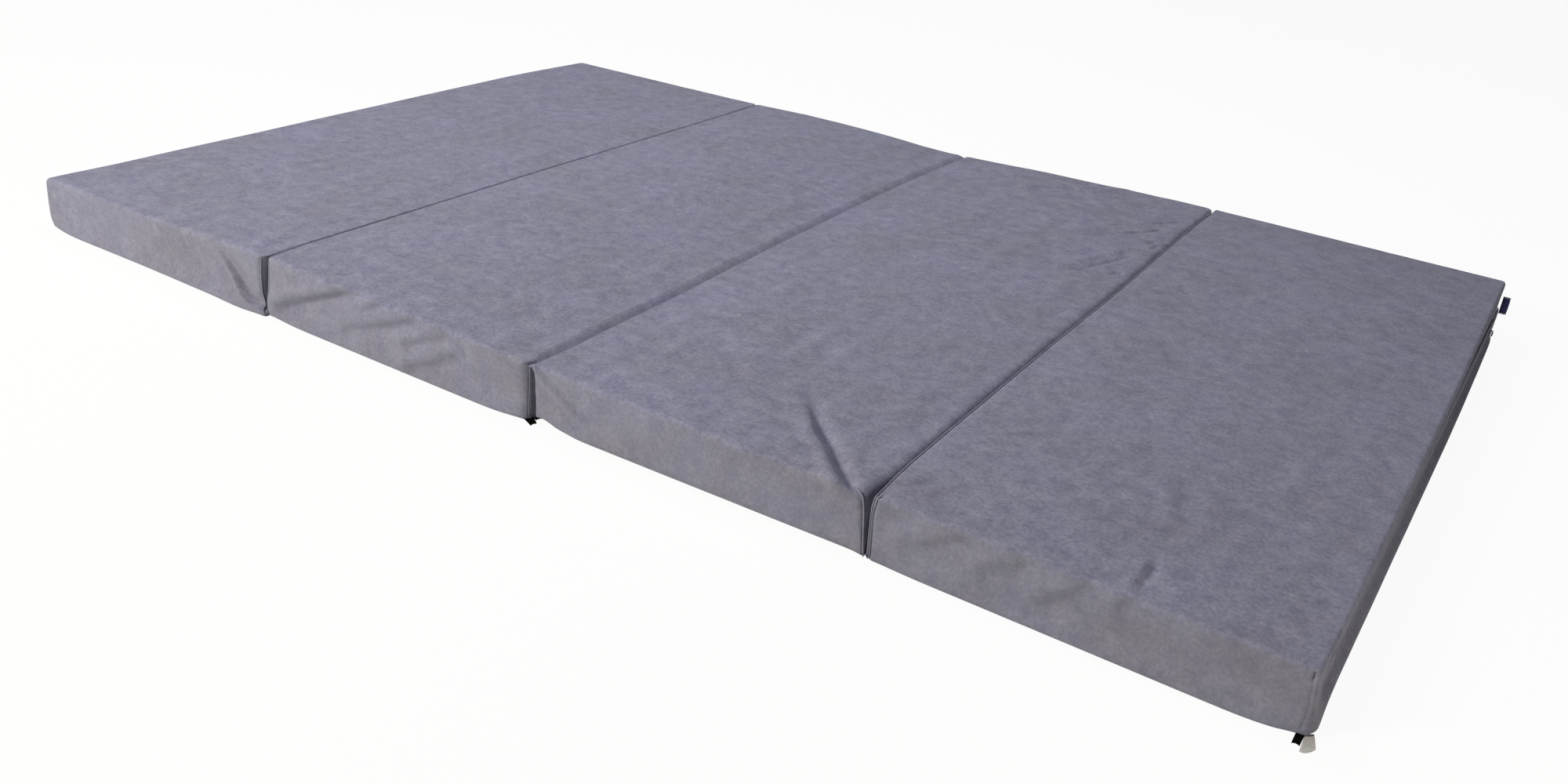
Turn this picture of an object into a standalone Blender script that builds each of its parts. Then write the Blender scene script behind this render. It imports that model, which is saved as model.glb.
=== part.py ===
"""Folding mattress: a row of foam panels in zipped covers, joined by fabric hinges.

Metres, +Z up. X runs along the row, the front is at -Y, and the covers lie on Z = 0.
"""

import math

import bmesh
import bpy
from mathutils import Matrix, Vector

# Mattress laid flat
PANELS = 4
LENGTH = 2.000
WIDTH = 1.300
EDGE_HEIGHT = 0.084
CROWN = 0.006
BOTTOM_HINGE_GAP = 0.005
TOP_HINGE_GAP = 0.012
GAPS = (BOTTOM_HINGE_GAP, TOP_HINGE_GAP, BOTTOM_HINGE_GAP)

# Covers
FABRIC = 0.0015
CORNER_RADIUS = 0.010
TOP_EDGE_RADIUS = 0.008
BOTTOM_EDGE_RADIUS = 0.008
PULL_IN = 0.003
CLEARANCE = 0.0003
CORE_SLACK = 0.0004

# Fabric hinges and the axes that the panels turn about
HINGE_FABRIC = 0.0015
HINGE_LIFT = 0.0005
HINGE_DIP = 0.004
BOTTOM_AXIS_DROP = 0.0005
TOP_AXIS_RISE = 0.0005

# Zips, each in a slot of its cover's side
ZIP_MARGIN = 0.090
ZIP_SLOT = 0.024
ZIP_TAPE = 0.001
CHAIN_WIDTH = 0.006
CHAIN_THICKNESS = 0.0016
CHAIN_MARGIN = 0.006
STOP_LENGTH = 0.003
STOP_WIDTH = 0.0084
RUNNING = 0.0003
SLIDER_LENGTH = 0.011
SLIDER_WALL = 0.0011
BRIDGE_LENGTH = 0.008
BRIDGE_WIDTH = 0.0022
BRIDGE_BAR = 0.0011
BRIDGE_HOLE = 0.0020
BRIDGE_SINK = 0.0004
PULL_LENGTH = 0.026
PULL_WIDTH = 0.0064
PULL_THICKNESS = 0.0012
PULL_WINDOW = 0.0050
PULL_SIDE_PLAY = 0.0004

# Closure tapes at the lower corners of the second and the last panel
TAPE_WIDTH = 0.0095
TAPE_THICKNESS = 0.0012
TAPE_LIFT = 0.0005
GAP_TAPE_LENGTH = 0.035
GAP_TAPE_HEADING = math.radians(-24)
GAP_TAPE_SHIFT = 0.0044
END_TAPE_LENGTH = 0.0225
END_TAPE_HEADING = math.radians(-95)
END_TAPE_SHIFT = -0.0034

# Blank labels at the corners of the last panel
CARE_WIDTH = 0.0105
CARE_LENGTH = 0.032
CARE_THICKNESS = 0.0008
CARE_HEADING = math.radians(-88)
CARE_SHIFT = 0.0080
SIDE_LABEL_HEIGHT = 0.030
SIDE_LABEL_TOP_DROP = 0.012
SIDE_LABEL_REACH = 0.0115
SIDE_LABEL_THICKNESS = 0.0012

# Shares of the zip's half length where a cover's side has further columns of faces
LONG_SIDE_SHARES = (0.0, 0.5, 1.0)
SHORT_SIDE_SHARES = (0.36, 1.0)
RAMP_SHARE = 0.5

PANEL_LENGTH = (LENGTH - sum(GAPS)) / PANELS
HALF_X = PANEL_LENGTH / 2
HALF_Y = WIDTH / 2
ZIP_LOW = (EDGE_HEIGHT - ZIP_SLOT) / 2
ZIP_HIGH = (EDGE_HEIGHT + ZIP_SLOT) / 2
DIAGONAL = math.cos(math.pi / 4)
FACET_ANGLE = math.pi / 8

# Levels of the zip, outwards from the plane of the cover's side
TAPE_FACE = -PULL_IN - (FABRIC - ZIP_TAPE) / 2
CHAIN_BACK = TAPE_FACE + CLEARANCE
CHAIN_FACE = CHAIN_BACK + CHAIN_THICKNESS
SLIDER_BACK = TAPE_FACE + CLEARANCE
SLIDER_ROOF = CHAIN_FACE + RUNNING
SLIDER_FACE = SLIDER_ROOF + SLIDER_WALL
PIN_LEVEL = SLIDER_FACE + BRIDGE_HOLE / 2
BRIDGE_FACE = SLIDER_FACE + BRIDGE_HOLE + BRIDGE_BAR

# Looks: colour, roughness and metallic value
VELOUR = ((0.225, 0.222, 0.286), 0.92, 0.0)
FOAM = ((0.80, 0.76, 0.58), 0.95, 0.0)
ZIP_CLOTH = ((0.055, 0.055, 0.060), 0.85, 0.0)
COIL = ((0.040, 0.040, 0.045), 0.45, 0.0)
STEEL = ((0.30, 0.30, 0.31), 0.35, 1.0)
BLACK_TAPE = ((0.012, 0.012, 0.012), 0.80, 0.0)
SATIN = ((0.62, 0.60, 0.56), 0.45, 0.0)
NAVY = ((0.020, 0.020, 0.110), 0.60, 0.0)


def clear_scene():
    for item in list(bpy.data.objects):
        bpy.data.objects.remove(item, do_unlink=True)


def finish(bm, name, look):
    """Turns a bmesh into a named object with a material of its own."""
    bmesh.ops.recalc_face_normals(bm, faces=bm.faces)
    mesh = bpy.data.meshes.new(name)
    bm.to_mesh(mesh)
    bm.free()
    item = bpy.data.objects.new(name, mesh)
    bpy.context.collection.objects.link(item)
    colour, roughness, metallic = look
    material = bpy.data.materials.new(name)
    material.use_nodes = True
    shader = material.node_tree.nodes["Principled BSDF"]
    shader.inputs["Base Color"].default_value = (*colour, 1.0)
    shader.inputs["Roughness"].default_value = roughness
    shader.inputs["Metallic"].default_value = metallic
    mesh.materials.append(material)
    return item


def empty(name, place, parent=None):
    """An empty that stands at a place in the world, under a parent without rotation."""
    item = bpy.data.objects.new(name, None)
    bpy.context.collection.objects.link(item)
    seat(item, parent, place)
    return item


def seat(item, parent, place):
    """Puts an item at a place in the world, as a child of an unrotated empty."""
    place = Vector(place)
    item.parent = parent
    item.location = place if parent is None else place - world_place(parent)


def world_place(item):
    place = item.location.copy()
    while item.parent is not None:
        item = item.parent
        place += item.location
    return place


def prism(name, outline, reach, look):
    """A closed solid: a flat outline pushed along a vector."""
    bm = bmesh.new()
    face = bm.faces.new([bm.verts.new(point) for point in outline])
    pushed = bmesh.ops.extrude_face_region(bm, geom=[face])["geom"]
    moved = [part for part in pushed if isinstance(part, bmesh.types.BMVert)]
    bmesh.ops.translate(bm, verts=moved, vec=Vector(reach))
    return finish(bm, name, look)


def panel_x(number):
    """Middle of a panel along the row."""
    return (number - 0.5) * PANEL_LENGTH + sum(GAPS[: number - 1]) - LENGTH / 2


def gap_x(number):
    """Middle of the gap after a panel."""
    return panel_x(number) + (PANEL_LENGTH + GAPS[number - 1]) / 2


def zip_side(number):
    """End panels open at their free end, inner panels at the back."""
    if number == 1:
        return Vector((-1, 0, 0))
    if number == PANELS:
        return Vector((1, 0, 0))
    return Vector((0, 1, 0))


def side_half(outward):
    return HALF_Y if outward.x else HALF_X


def side_distance(outward):
    return HALF_X if outward.x else HALF_Y


def zip_half(half):
    return half - ZIP_MARGIN


def columns(half, shares):
    """Places of the vertices along a side, from corner to corner."""
    reach = zip_half(half)
    straight = half - CORNER_RADIUS
    ramp = reach + (straight - reach) * RAMP_SHARE
    right = [reach * share for share in shares] + [ramp, straight, half]
    left = [-place for place in reversed(right) if place]
    return left + right


COLUMNS_X = columns(HALF_X, SHORT_SIDE_SHARES)
COLUMNS_Y = columns(HALF_Y, LONG_SIDE_SHARES)


def pull(place, half, depth):
    """How far a side is drawn in at a place along it: fully along the zip, not at the corners."""
    reach = zip_half(half)
    straight = half - CORNER_RADIUS
    share = (straight - abs(place)) / (straight - reach)
    share = min(max(share, 0.0), 1.0)
    return depth * share * share * (3 - 2 * share)


def rim_point(i, j, depth, drawn):
    """A point on the outline of a cover, at a depth inside it and drawn in along its sides."""
    x, y = COLUMNS_X[i], COLUMNS_Y[j]
    at_x = abs(x) == HALF_X
    at_y = abs(y) == HALF_Y
    if at_x and at_y:
        arm = (CORNER_RADIUS - depth) * DIAGONAL
        x = math.copysign(HALF_X - CORNER_RADIUS + arm, x)
        y = math.copysign(HALF_Y - CORNER_RADIUS + arm, y)
    elif at_x:
        x = math.copysign(HALF_X - depth - pull(y, HALF_Y, drawn), x)
    else:
        y = math.copysign(HALF_Y - depth - pull(x, HALF_X, drawn), y)
    return x, y


def side_profile(skin):
    """Depth, height and draw of each ring of a cover's side, a skin's thickness inside it."""
    low = BOTTOM_EDGE_RADIUS
    high = TOP_EDGE_RADIUS
    low_arm = (low - skin) * DIAGONAL
    high_arm = (high - skin) * DIAGONAL
    shoulder = EDGE_HEIGHT - high
    return [
        (low, skin, 0.0),
        (low - low_arm, low - low_arm, 0.0),
        (skin, low, 0.0),
        (skin, ZIP_LOW, PULL_IN),
        (skin, ZIP_HIGH, PULL_IN),
        (skin, shoulder, 0.0),
        (high - high_arm, shoulder + high_arm, 0.0),
        (high, EDGE_HEIGHT - skin, 0.0),
    ]


def crown(x, y):
    """Swell of the top, most in the middle and none at the edges."""
    across = x / (HALF_X - TOP_EDGE_RADIUS)
    along = y / (HALF_Y - TOP_EDGE_RADIUS)
    return CROWN * (1 - across**2) * (1 - along**4)


def rim_indices():
    """The grid's outer indices, counter-clockwise from the front left corner."""
    last_x = len(COLUMNS_X) - 1
    last_y = len(COLUMNS_Y) - 1
    front = [(i, 0) for i in range(last_x)]
    right = [(last_x, j) for j in range(last_y)]
    back = [(i, last_y) for i in range(last_x, 0, -1)]
    left = [(0, j) for j in range(last_y, 0, -1)]
    return front + right + back + left


def in_slot(start, end, outward):
    """Whether a stretch of the rim lies along the zip's slot."""
    for i, j in (start, end):
        x, y = COLUMNS_X[i], COLUMNS_Y[j]
        off_side = x != outward.x * HALF_X if outward.x else y != outward.y * HALF_Y
        place, half = (y, HALF_Y) if outward.x else (x, HALF_X)
        if off_side or abs(place) > zip_half(half):
            return False
    return True


def cushion_skin(bm, skin, outward=None):
    """One closed cushion surface, or one left open where the zip goes. Returns its slot's rims."""
    rim = rim_indices()
    profile = side_profile(skin)
    rings = []
    for depth, height, drawn in profile:
        ring = [bm.verts.new((*rim_point(i, j, depth, drawn), height)) for i, j in rim]
        rings.append(ring)
    bm.faces.new(rings[0])
    lips = []
    slot_band = profile.index((skin, ZIP_LOW, PULL_IN))
    for band, (lower, upper) in enumerate(zip(rings, rings[1:])):
        for n, start in enumerate(rim):
            m = (n + 1) % len(rim)
            if outward and band == slot_band and in_slot(start, rim[m], outward):
                lips.append((lower[n], lower[m], upper[n], upper[m]))
            else:
                bm.faces.new((lower[n], lower[m], upper[m], upper[n]))
    grid = dict(zip(rim, rings[-1]))
    for i, x in enumerate(COLUMNS_X):
        for j, y in enumerate(COLUMNS_Y):
            if (i, j) not in grid:
                grid[i, j] = bm.verts.new((x, y, EDGE_HEIGHT - skin + crown(x, y)))
    for i in range(len(COLUMNS_X) - 1):
        for j in range(len(COLUMNS_Y) - 1):
            bm.faces.new((grid[i, j], grid[i + 1, j], grid[i + 1, j + 1], grid[i, j + 1]))
    return lips


def make_cover(number, parent):
    """The fabric shell of a panel, with the slot that its zip closes."""
    bm = bmesh.new()
    outward = zip_side(number)
    outer = cushion_skin(bm, 0.0, outward)
    inner = cushion_skin(bm, FABRIC, outward)
    for outside, inside in zip(outer, inner):
        for a, b in ((0, 1), (2, 3)):
            bm.faces.new((outside[a], outside[b], inside[b], inside[a]))
    for outside, inside, a, b in ((outer[0], inner[0], 0, 2), (outer[-1], inner[-1], 1, 3)):
        bm.faces.new((outside[a], outside[b], inside[b], inside[a]))
    cover = finish(bm, f"cover_{number}", VELOUR)
    cover.data.shade_smooth()
    cover.data.set_sharp_from_angle(angle=math.radians(50))
    seat(cover, parent, (panel_x(number), 0, 0))


def make_core(number, parent):
    """The foam block, crowned and drawn in as its cover holds it."""
    bm = bmesh.new()
    cushion_skin(bm, FABRIC + CORE_SLACK)
    core = finish(bm, f"foam_core_{number}", FOAM)
    core.data.shade_smooth()
    core.data.set_sharp_from_angle(angle=math.radians(50))
    seat(core, parent, (panel_x(number), 0, 0))


def under_edge(height):
    """How far a flat piece may reach in under a cover's rounded lower edge, at a height."""
    lift = height + CLEARANCE / math.cos(FACET_ANGLE)
    return BOTTOM_EDGE_RADIUS - lift / math.tan(FACET_ANGLE)


def make_bottom_hinge(number, parent):
    """Fabric that joins the lower edges of two panels, tucked under both."""
    middle = gap_x(number)
    start = -(HALF_Y - CORNER_RADIUS)
    low, high = HINGE_LIFT, HINGE_LIFT + HINGE_FABRIC
    wide = BOTTOM_HINGE_GAP / 2 + under_edge(low)
    narrow = BOTTOM_HINGE_GAP / 2 + under_edge(high)
    outline = [(-wide, start, low), (wide, start, low), (narrow, start, high), (-narrow, start, high)]
    strip = prism(f"hinge_strip_{number}", outline, (0, -2 * start, 0), VELOUR)
    seat(strip, parent, (middle, 0, 0))


def make_top_hinge(number, parent):
    """Fabric that joins the upper edges of two panels and dips into the gap between them."""
    start = -(HALF_Y - CORNER_RADIUS)
    raised = CLEARANCE / math.cos(FACET_ANGLE)
    facet = TOP_EDGE_RADIUS * (1 - DIAGONAL)
    side = TOP_HINGE_GAP / 2
    tip = (side + TOP_EDGE_RADIUS, EDGE_HEIGHT + raised)
    knee_low = (side + facet, EDGE_HEIGHT - facet + raised)
    knee_high = (side + facet, EDGE_HEIGHT)
    wall_low = (side, EDGE_HEIGHT - HINGE_DIP - HINGE_FABRIC)
    wall_high = (side, EDGE_HEIGHT - HINGE_DIP + HINGE_FABRIC)
    floor_low = (0.0, EDGE_HEIGHT - HINGE_DIP - HINGE_FABRIC)
    floor_high = (0.0, EDGE_HEIGHT - HINGE_DIP)
    right = [floor_low, wall_low, knee_low, tip, knee_high, wall_high, floor_high]
    left = [(-x, z) for x, z in reversed(right) if x]
    outline = [(x, start, z) for x, z in right + left]
    strip = prism(f"hinge_strip_{number}", outline, (0, -2 * start, 0), VELOUR)
    seat(strip, parent, (gap_x(number), 0, 0))


def zip_axes(number):
    """Turns along, up and outwards at a panel's zip into the world's directions."""
    outward = zip_side(number)
    up = Vector((0, 0, 1))
    along = up.cross(outward)
    return Matrix((along, up, outward)).transposed().to_4x4()


def zip_place(number, along=0.0, outwards=0.0):
    """A place in the world on the middle line of a panel's zip."""
    outward = zip_side(number)
    middle = Vector((panel_x(number), 0, EDGE_HEIGHT / 2))
    middle += outward * (side_distance(outward) + outwards)
    return middle + zip_axes(number).to_3x3() @ Vector((along, 0, 0))


def chain_half(number):
    return zip_half(side_half(zip_side(number))) - CHAIN_MARGIN


def slider_rest(number):
    """Where the slider stops at the closed end of its chain."""
    return chain_half(number) - STOP_LENGTH - RUNNING - SLIDER_LENGTH / 2


def put_on_zip(item, number, parent, along=0.0, outwards=0.0):
    item.data.transform(zip_axes(number))
    seat(item, parent, zip_place(number, along, outwards))


def make_zip_tape(number, parent):
    """The woven tape that fills the slot of the cover."""
    length = zip_half(side_half(zip_side(number))) - CLEARANCE
    height = ZIP_SLOT / 2 - CLEARANCE
    corners = ((-length, -height), (length, -height), (length, height), (-length, height))
    outline = [(u, v, TAPE_FACE - ZIP_TAPE) for u, v in corners]
    tape = prism(f"zip_tape_{number}", outline, (0, 0, ZIP_TAPE), ZIP_CLOTH)
    put_on_zip(tape, number, parent)


def make_zip_chain(number, parent):
    """The closed coil along the tape, with a wider stop at each end."""
    end = chain_half(number)
    neck = end - STOP_LENGTH
    wide, narrow = STOP_WIDTH / 2, CHAIN_WIDTH / 2
    quarter = [(neck, narrow), (neck, wide), (end, wide)]
    upper = quarter + [(u, -v) for u, v in reversed(quarter)]
    around = upper + [(-u, -v) for u, v in upper]
    outline = [(u, v, CHAIN_BACK) for u, v in around]
    chain = prism(f"zip_chain_{number}", outline, (0, 0, CHAIN_THICKNESS), COIL)
    put_on_zip(chain, number, parent)


def make_slider(number, parent):
    """A slider that straddles the chain, with a bridge for its pull."""
    inner = CHAIN_WIDTH / 2 + RUNNING
    outer = inner + SLIDER_WALL
    start = -SLIDER_LENGTH / 2
    levels = [(outer, SLIDER_BACK), (outer, SLIDER_FACE)]
    half = [(inner, SLIDER_ROOF), (inner, SLIDER_BACK)] + levels
    section = half + [(-v, w) for v, w in reversed(half)]
    outline = [(start, v, w - PIN_LEVEL) for v, w in section]
    slider = prism(f"zip_slider_{number}", outline, (SLIDER_LENGTH, 0, 0), STEEL)

    foot = SLIDER_FACE - BRIDGE_SINK - PIN_LEVEL
    roof = BRIDGE_FACE - PIN_LEVEL
    reach = BRIDGE_LENGTH / 2
    hole = reach - BRIDGE_BAR
    arch = [(reach, foot), (reach, roof), (-reach, roof), (-reach, foot)]
    arch += [(-hole, foot), (-hole, roof - BRIDGE_BAR), (hole, roof - BRIDGE_BAR), (hole, foot)]
    outline = [(u, -BRIDGE_WIDTH / 2, w) for u, w in arch]
    bridge = prism(f"bridge_guide_{number}", outline, (0, BRIDGE_WIDTH, 0), STEEL)
    bridge.hide_render = True
    bridge.display_type = "WIRE"

    along = slider_rest(number)
    for item in (slider, bridge):
        put_on_zip(item, number, parent, along, PIN_LEVEL)
    union = slider.modifiers.new("bridge", "BOOLEAN")
    union.operation = "UNION"
    union.object = bridge


def make_pull(number, parent):
    """A flat pull whose cross bar turns under the slider's bridge."""
    bar = PULL_THICKNESS / 2
    edge = PULL_WIDTH / 2
    inner = BRIDGE_WIDTH / 2 + PULL_SIDE_PLAY
    tip = PULL_LENGTH
    taper = edge - PULL_THICKNESS
    bm = bmesh.new()
    rim = [(bar, edge), (-tip + edge, edge), (-tip, taper), (-tip, -taper), (-tip + edge, -edge), (bar, -edge)]
    hole = [(-bar, inner), (-PULL_WINDOW, inner), (-PULL_WINDOW, -inner), (-bar, -inner)]
    layers = []
    for level in (-bar, bar):
        outside = [bm.verts.new((u, v, level)) for u, v in rim]
        inside = [bm.verts.new((u, v, level)) for u, v in hole]
        bm.faces.new((outside[0], outside[5], inside[3], inside[0]))
        bm.faces.new((outside[0], inside[0], inside[1], outside[1]))
        bm.faces.new((outside[5], outside[4], inside[2], inside[3]))
        bm.faces.new((outside[1], inside[1], inside[2], outside[4]))
        bm.faces.new((outside[1], outside[4], outside[3], outside[2]))
        layers.append((outside, inside))
    for low, high in zip(*layers):
        for n in range(len(low)):
            m = (n + 1) % len(low)
            bm.faces.new((low[n], low[m], high[m], high[n]))
    pull_tab = finish(bm, f"zip_pull_{number}", STEEL)
    put_on_zip(pull_tab, number, parent, slider_rest(number), PIN_LEVEL)


def corner_facet(number):
    """Middle and outward direction of the front facet of a panel's right corner, seen from above."""
    inset = CORNER_RADIUS * (1 - DIAGONAL)
    start = Vector((HALF_X - CORNER_RADIUS, -HALF_Y))
    end = Vector((HALF_X - inset, -HALF_Y + inset))
    run = end - start
    outward = Vector((run.y, -run.x)).normalized()
    return (start + end) / 2 + Vector((panel_x(number), 0)), outward


def make_flap(name, number, mirror, sizes, look, parent):
    """A flat flap sewn in at a panel's lower right corner, at the front or mirrored at the back."""
    width, length, thickness, lift, heading, shift = sizes
    middle, outward = corner_facet(number)
    facet = Vector((-outward.y, outward.x))
    tuck = under_edge(lift + thickness)
    middle += facet * shift - outward * tuck
    ahead = Vector((math.cos(heading), math.sin(heading)))
    across = Vector((-ahead.y, ahead.x)) * (width / 2)
    near = [side - ahead * (side.dot(outward) / ahead.dot(outward)) for side in (across, -across)]
    far = [ahead * length - across, ahead * length + across]
    outline = [(*(middle + corner), lift) for corner in near + far]
    outline = [(x, y * mirror, z) for x, y, z in outline]
    flap = prism(name, [(x - panel_x(number), y, z) for x, y, z in outline], (0, 0, thickness), look)
    seat(flap, parent, (panel_x(number), 0, 0))


def make_side_label(parent):
    """A folded woven label that stands out of the back right corner's upright seam."""
    seam = CORNER_RADIUS * (1 - DIAGONAL)
    root = HALF_X - seam + CLEARANCE
    y = HALF_Y - seam - SIDE_LABEL_THICKNESS / 2
    high = EDGE_HEIGHT - SIDE_LABEL_TOP_DROP
    low = high - SIDE_LABEL_HEIGHT
    tip = root + SIDE_LABEL_REACH
    outline = [(root, y, low), (tip, y, low), (tip, y, high), (root, y, high)]
    label = prism("side_label", outline, (0, SIDE_LABEL_THICKNESS, 0), NAVY)
    seat(label, parent, (panel_x(PANELS), 0, 0))


def make_bodies():
    """Empties that carry the panels, each on the axis that its panel turns about."""
    bodies = {2: empty("panel_2", (panel_x(2), 0, 0))}
    bodies[1] = empty("panel_1", (gap_x(1), 0, -BOTTOM_AXIS_DROP), bodies[2])
    bodies[3] = empty("panel_3", (gap_x(2), 0, EDGE_HEIGHT + TOP_AXIS_RISE), bodies[2])
    bodies[4] = empty("panel_4", (gap_x(3), 0, -BOTTOM_AXIS_DROP), bodies[3])
    return bodies


def build():
    clear_scene()
    bodies = make_bodies()
    for number in range(1, PANELS + 1):
        body = bodies[number]
        make_cover(number, body)
        make_core(number, body)
        make_zip_tape(number, body)
        make_zip_chain(number, body)
        slider_body = empty(f"slider_{number}", zip_place(number, slider_rest(number)), body)
        make_slider(number, slider_body)
        make_pull(number, slider_body)
    make_bottom_hinge(1, bodies[2])
    make_top_hinge(2, bodies[2])
    make_bottom_hinge(3, bodies[3])
    gap_tape = (TAPE_WIDTH, GAP_TAPE_LENGTH, TAPE_THICKNESS, TAPE_LIFT, GAP_TAPE_HEADING, GAP_TAPE_SHIFT)
    end_tape = (TAPE_WIDTH, END_TAPE_LENGTH, TAPE_THICKNESS, TAPE_LIFT, END_TAPE_HEADING, END_TAPE_SHIFT)
    for end, mirror in (("front", 1), ("back", -1)):
        make_flap(f"closure_tape_2_{end}", 2, mirror, gap_tape, BLACK_TAPE, bodies[2])
        make_flap(f"closure_tape_4_{end}", 4, mirror, end_tape, BLACK_TAPE, bodies[4])
    care = (CARE_WIDTH, CARE_LENGTH, CARE_THICKNESS, TAPE_LIFT, CARE_HEADING, CARE_SHIFT)
    make_flap("care_label", 4, 1, care, SATIN, bodies[4])
    make_side_label(bodies[4])


build()
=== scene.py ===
import math

import bpy
import numpy as np
from mathutils import Euler, Matrix, Vector
from mathutils.bvhtree import BVHTree

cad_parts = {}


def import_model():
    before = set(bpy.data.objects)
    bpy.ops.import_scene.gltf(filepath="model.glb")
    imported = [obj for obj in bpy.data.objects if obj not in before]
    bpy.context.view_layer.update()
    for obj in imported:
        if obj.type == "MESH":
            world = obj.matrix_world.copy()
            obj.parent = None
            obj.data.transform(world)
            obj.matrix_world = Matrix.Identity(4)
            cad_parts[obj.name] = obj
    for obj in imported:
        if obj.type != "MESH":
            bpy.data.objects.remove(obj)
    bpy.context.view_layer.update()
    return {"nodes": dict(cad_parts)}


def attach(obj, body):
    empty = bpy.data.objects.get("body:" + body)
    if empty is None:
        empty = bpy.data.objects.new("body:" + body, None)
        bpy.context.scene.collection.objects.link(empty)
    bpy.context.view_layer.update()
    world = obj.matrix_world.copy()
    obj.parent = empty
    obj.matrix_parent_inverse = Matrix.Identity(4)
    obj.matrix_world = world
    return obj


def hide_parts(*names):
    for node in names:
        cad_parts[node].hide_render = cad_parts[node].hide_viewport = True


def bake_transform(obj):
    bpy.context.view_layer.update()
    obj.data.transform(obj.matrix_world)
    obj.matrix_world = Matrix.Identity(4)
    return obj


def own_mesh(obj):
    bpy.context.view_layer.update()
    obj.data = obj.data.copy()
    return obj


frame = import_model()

MM = 0.001

# Sizes of the dressed mattress, in millimetres
HEIGHT = 84.0
FRONT = -650.0
BACK = 650.0
# Rise of the foam's crown, and how far from the ends and from the front and back it takes to rise
CROWN = 4.5
CROWN_REACH = (55.0, 70.0)
# Highest that the top may come, and how far below that its rise is slowed
TALLEST = 101.0
SLOWING = 4.0
# Left and right end of each panel, and the places of the row's two ends and its three gaps
ENDS = ((-1000.0, -505.5), (-500.5, -6.0), (6.0, 500.5), (505.5, 1000.0))
# Top edge above (+) or below its nominal height, along the front and along the back: (x, rise)
FRONT_LIFT = ((-1000, 0.5), (-740, 2), (-500, 9.5), (-394, 8), (-240, 5), (-97, 1), (14, 0), (160, -1.5),
              (390, -2), (503, -1), (770, -2), (855, -3.5), (1000, -3))
BACK_LIFT = ((-1000, -3), (-750, -1), (-500, 1), (-360, 5), (-250, 5), (-28, 0), (75, 4), (174, 8),
             (270, 11), (363, 14), (453, 17), (700, 17), (860, 16), (1000, 15))
# Sideways place of the two ends and the three gaps against their stations: (y, shift)
LINES = (
    ((-650, -22), (-600, -21.5), (-200, -19), (200, -18), (500, -13), (650, 1)),
    ((-650, 6), (-540, 5), (-350, 3.5), (-120, 0), (150, -1), (470, -1), (650, -3.5)),
    ((-650, 10), (-540, 3), (-350, 0), (-120, -8), (150, -14), (470, -15), (650, -8)),
    ((-650, 2.5), (-540, 0), (-350, -1.5), (-120, -2.5), (150, -1), (470, -5), (650, -4)),
    ((-650, 0), (-300, 0), (300, -1), (650, -5)),
)
# Where each side of a panel stands at the front corner, against its line: (height, shift)
FRONT_EDGE = {
    (1, 0): ((0, 0), (12, -6), (30, -8), (60, -6), (84, -3)),
    (1, 1): ((0, 1), (7, 0), (18, -7), (45, -8), (84, -4)),
    (2, 0): ((0, -9), (40, -4), (84, 4)),
    (2, 1): ((0, 1), (84, 1)),
    (3, 0): ((0, -3.5), (40, -5), (84, -7)),
    (3, 1): ((0, 2.5), (40, -1), (63, -3), (78, -7), (84, -12)),
    (4, 0): ((0, -1), (12, -1.5), (35, -3), (60, -3.5), (75, -2), (84, 1)),
    (4, 1): ((0, 3), (40, 2), (84, -1)),
}
# How far behind the front a panel's sides come back to their line, for the ends and the gaps
EDGE_FADE = (60.0, 26.0, 50.0, 48.0, 60.0)
# How far into a panel an end's own shift reaches
END_REACH = 60.0
# How far the cover's lower front edge stands off the floor: (x, rise)
FOOT = ((-1000, 4), (-985, 1), (-970, 0), (4, 0), (5, 10), (20, 9), (40, 4), (75, 0.5), (90, 0), (970, 0),
        (985, 1.5), (1000, 3))
# How far each panel's upper edge leans into its gap, away from the front
TOP_CLOSE = 2.0
# How much deeper the folds of the top are than in the table
TOP_RELIEF = 1.9
# How far a fold goes on round an edge onto a panel's end
FOLD_WRAP = 9.0
# Soft unevenness of all faces, of the fronts alone, and a finer one of all faces: seed, wavelengths, height
BROAD_WAVES, FRONT_WAVES, FINE_WAVES = (40, 70, 320, 0.42), (80, 45, 140, 0.6), (60, 24, 60, 0.10)
WAVE_COUNT = 26
# How much deeper and wider the folds of each panel's front are than in the table
FRONT_RELIEF = {1: (2.0, 1.0), 2: (2.6, 1.5), 3: (1.8, 1.0), 4: (1.7, 1.9)}
# How far from an end the long edges take on its radius
EDGE_BLEND = 14.0
# Left and right radius of a panel's upper end edges, of its upright front corners (low, high) and of its
# upright back corners
ROUNDING = {1: (6.0, 3.5), 2: (3.0, 12.0), 3: (2.5, 11.0), 4: (3.0, 6.0)}
CORNERS = {1: ((8, 6), (5, 17)), 2: ((7, 7), (22, 22)), 3: ((6, 6), (7, 20)), 4: ((8, 9), (9, 9))}
BACK_CORNERS = {1: (18, 20), 2: (16, 14), 3: (14, 22), 4: (10, 12)}
# How far the third panel's shoulder falls away to its right, at the front and at the back, and its width
SHOULDER = (1.0, 2.5, 12.0)
# How far the top of the first panel's right front corner droops, and over what distance
DROOP = (4.0, 25.0)
# Radius of the lower front edge of each panel, of the lower end edges, and of the other long edges
LOW_ROUNDING = {1: 5.0, 2: 5.0, 3: 12.0, 4: 5.0}
END_LOW_RADIUS = 4.0
LONG_RADIUS = 8.0
# How far the covers' lower front edges (left, right), the row's lower right end edge and the lower back edges
# swell out over the floor, how high, and how far from a panel's ends this takes to come
FRONT_SWELL = {1: (6, 5), 2: (5, 8), 3: (5, 0), 4: (2, 9)}
END_SWELL = 6.5
BACK_SWELL = 2.0
SWELL_HIGH = 26.0
SWELL_FADE = 40.0
# Bulge of the first panel's foot: how far, from which x, over what length, how high
FOOT_BULGE = (4.0, -820.0, 280.0, 15.0)
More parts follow.
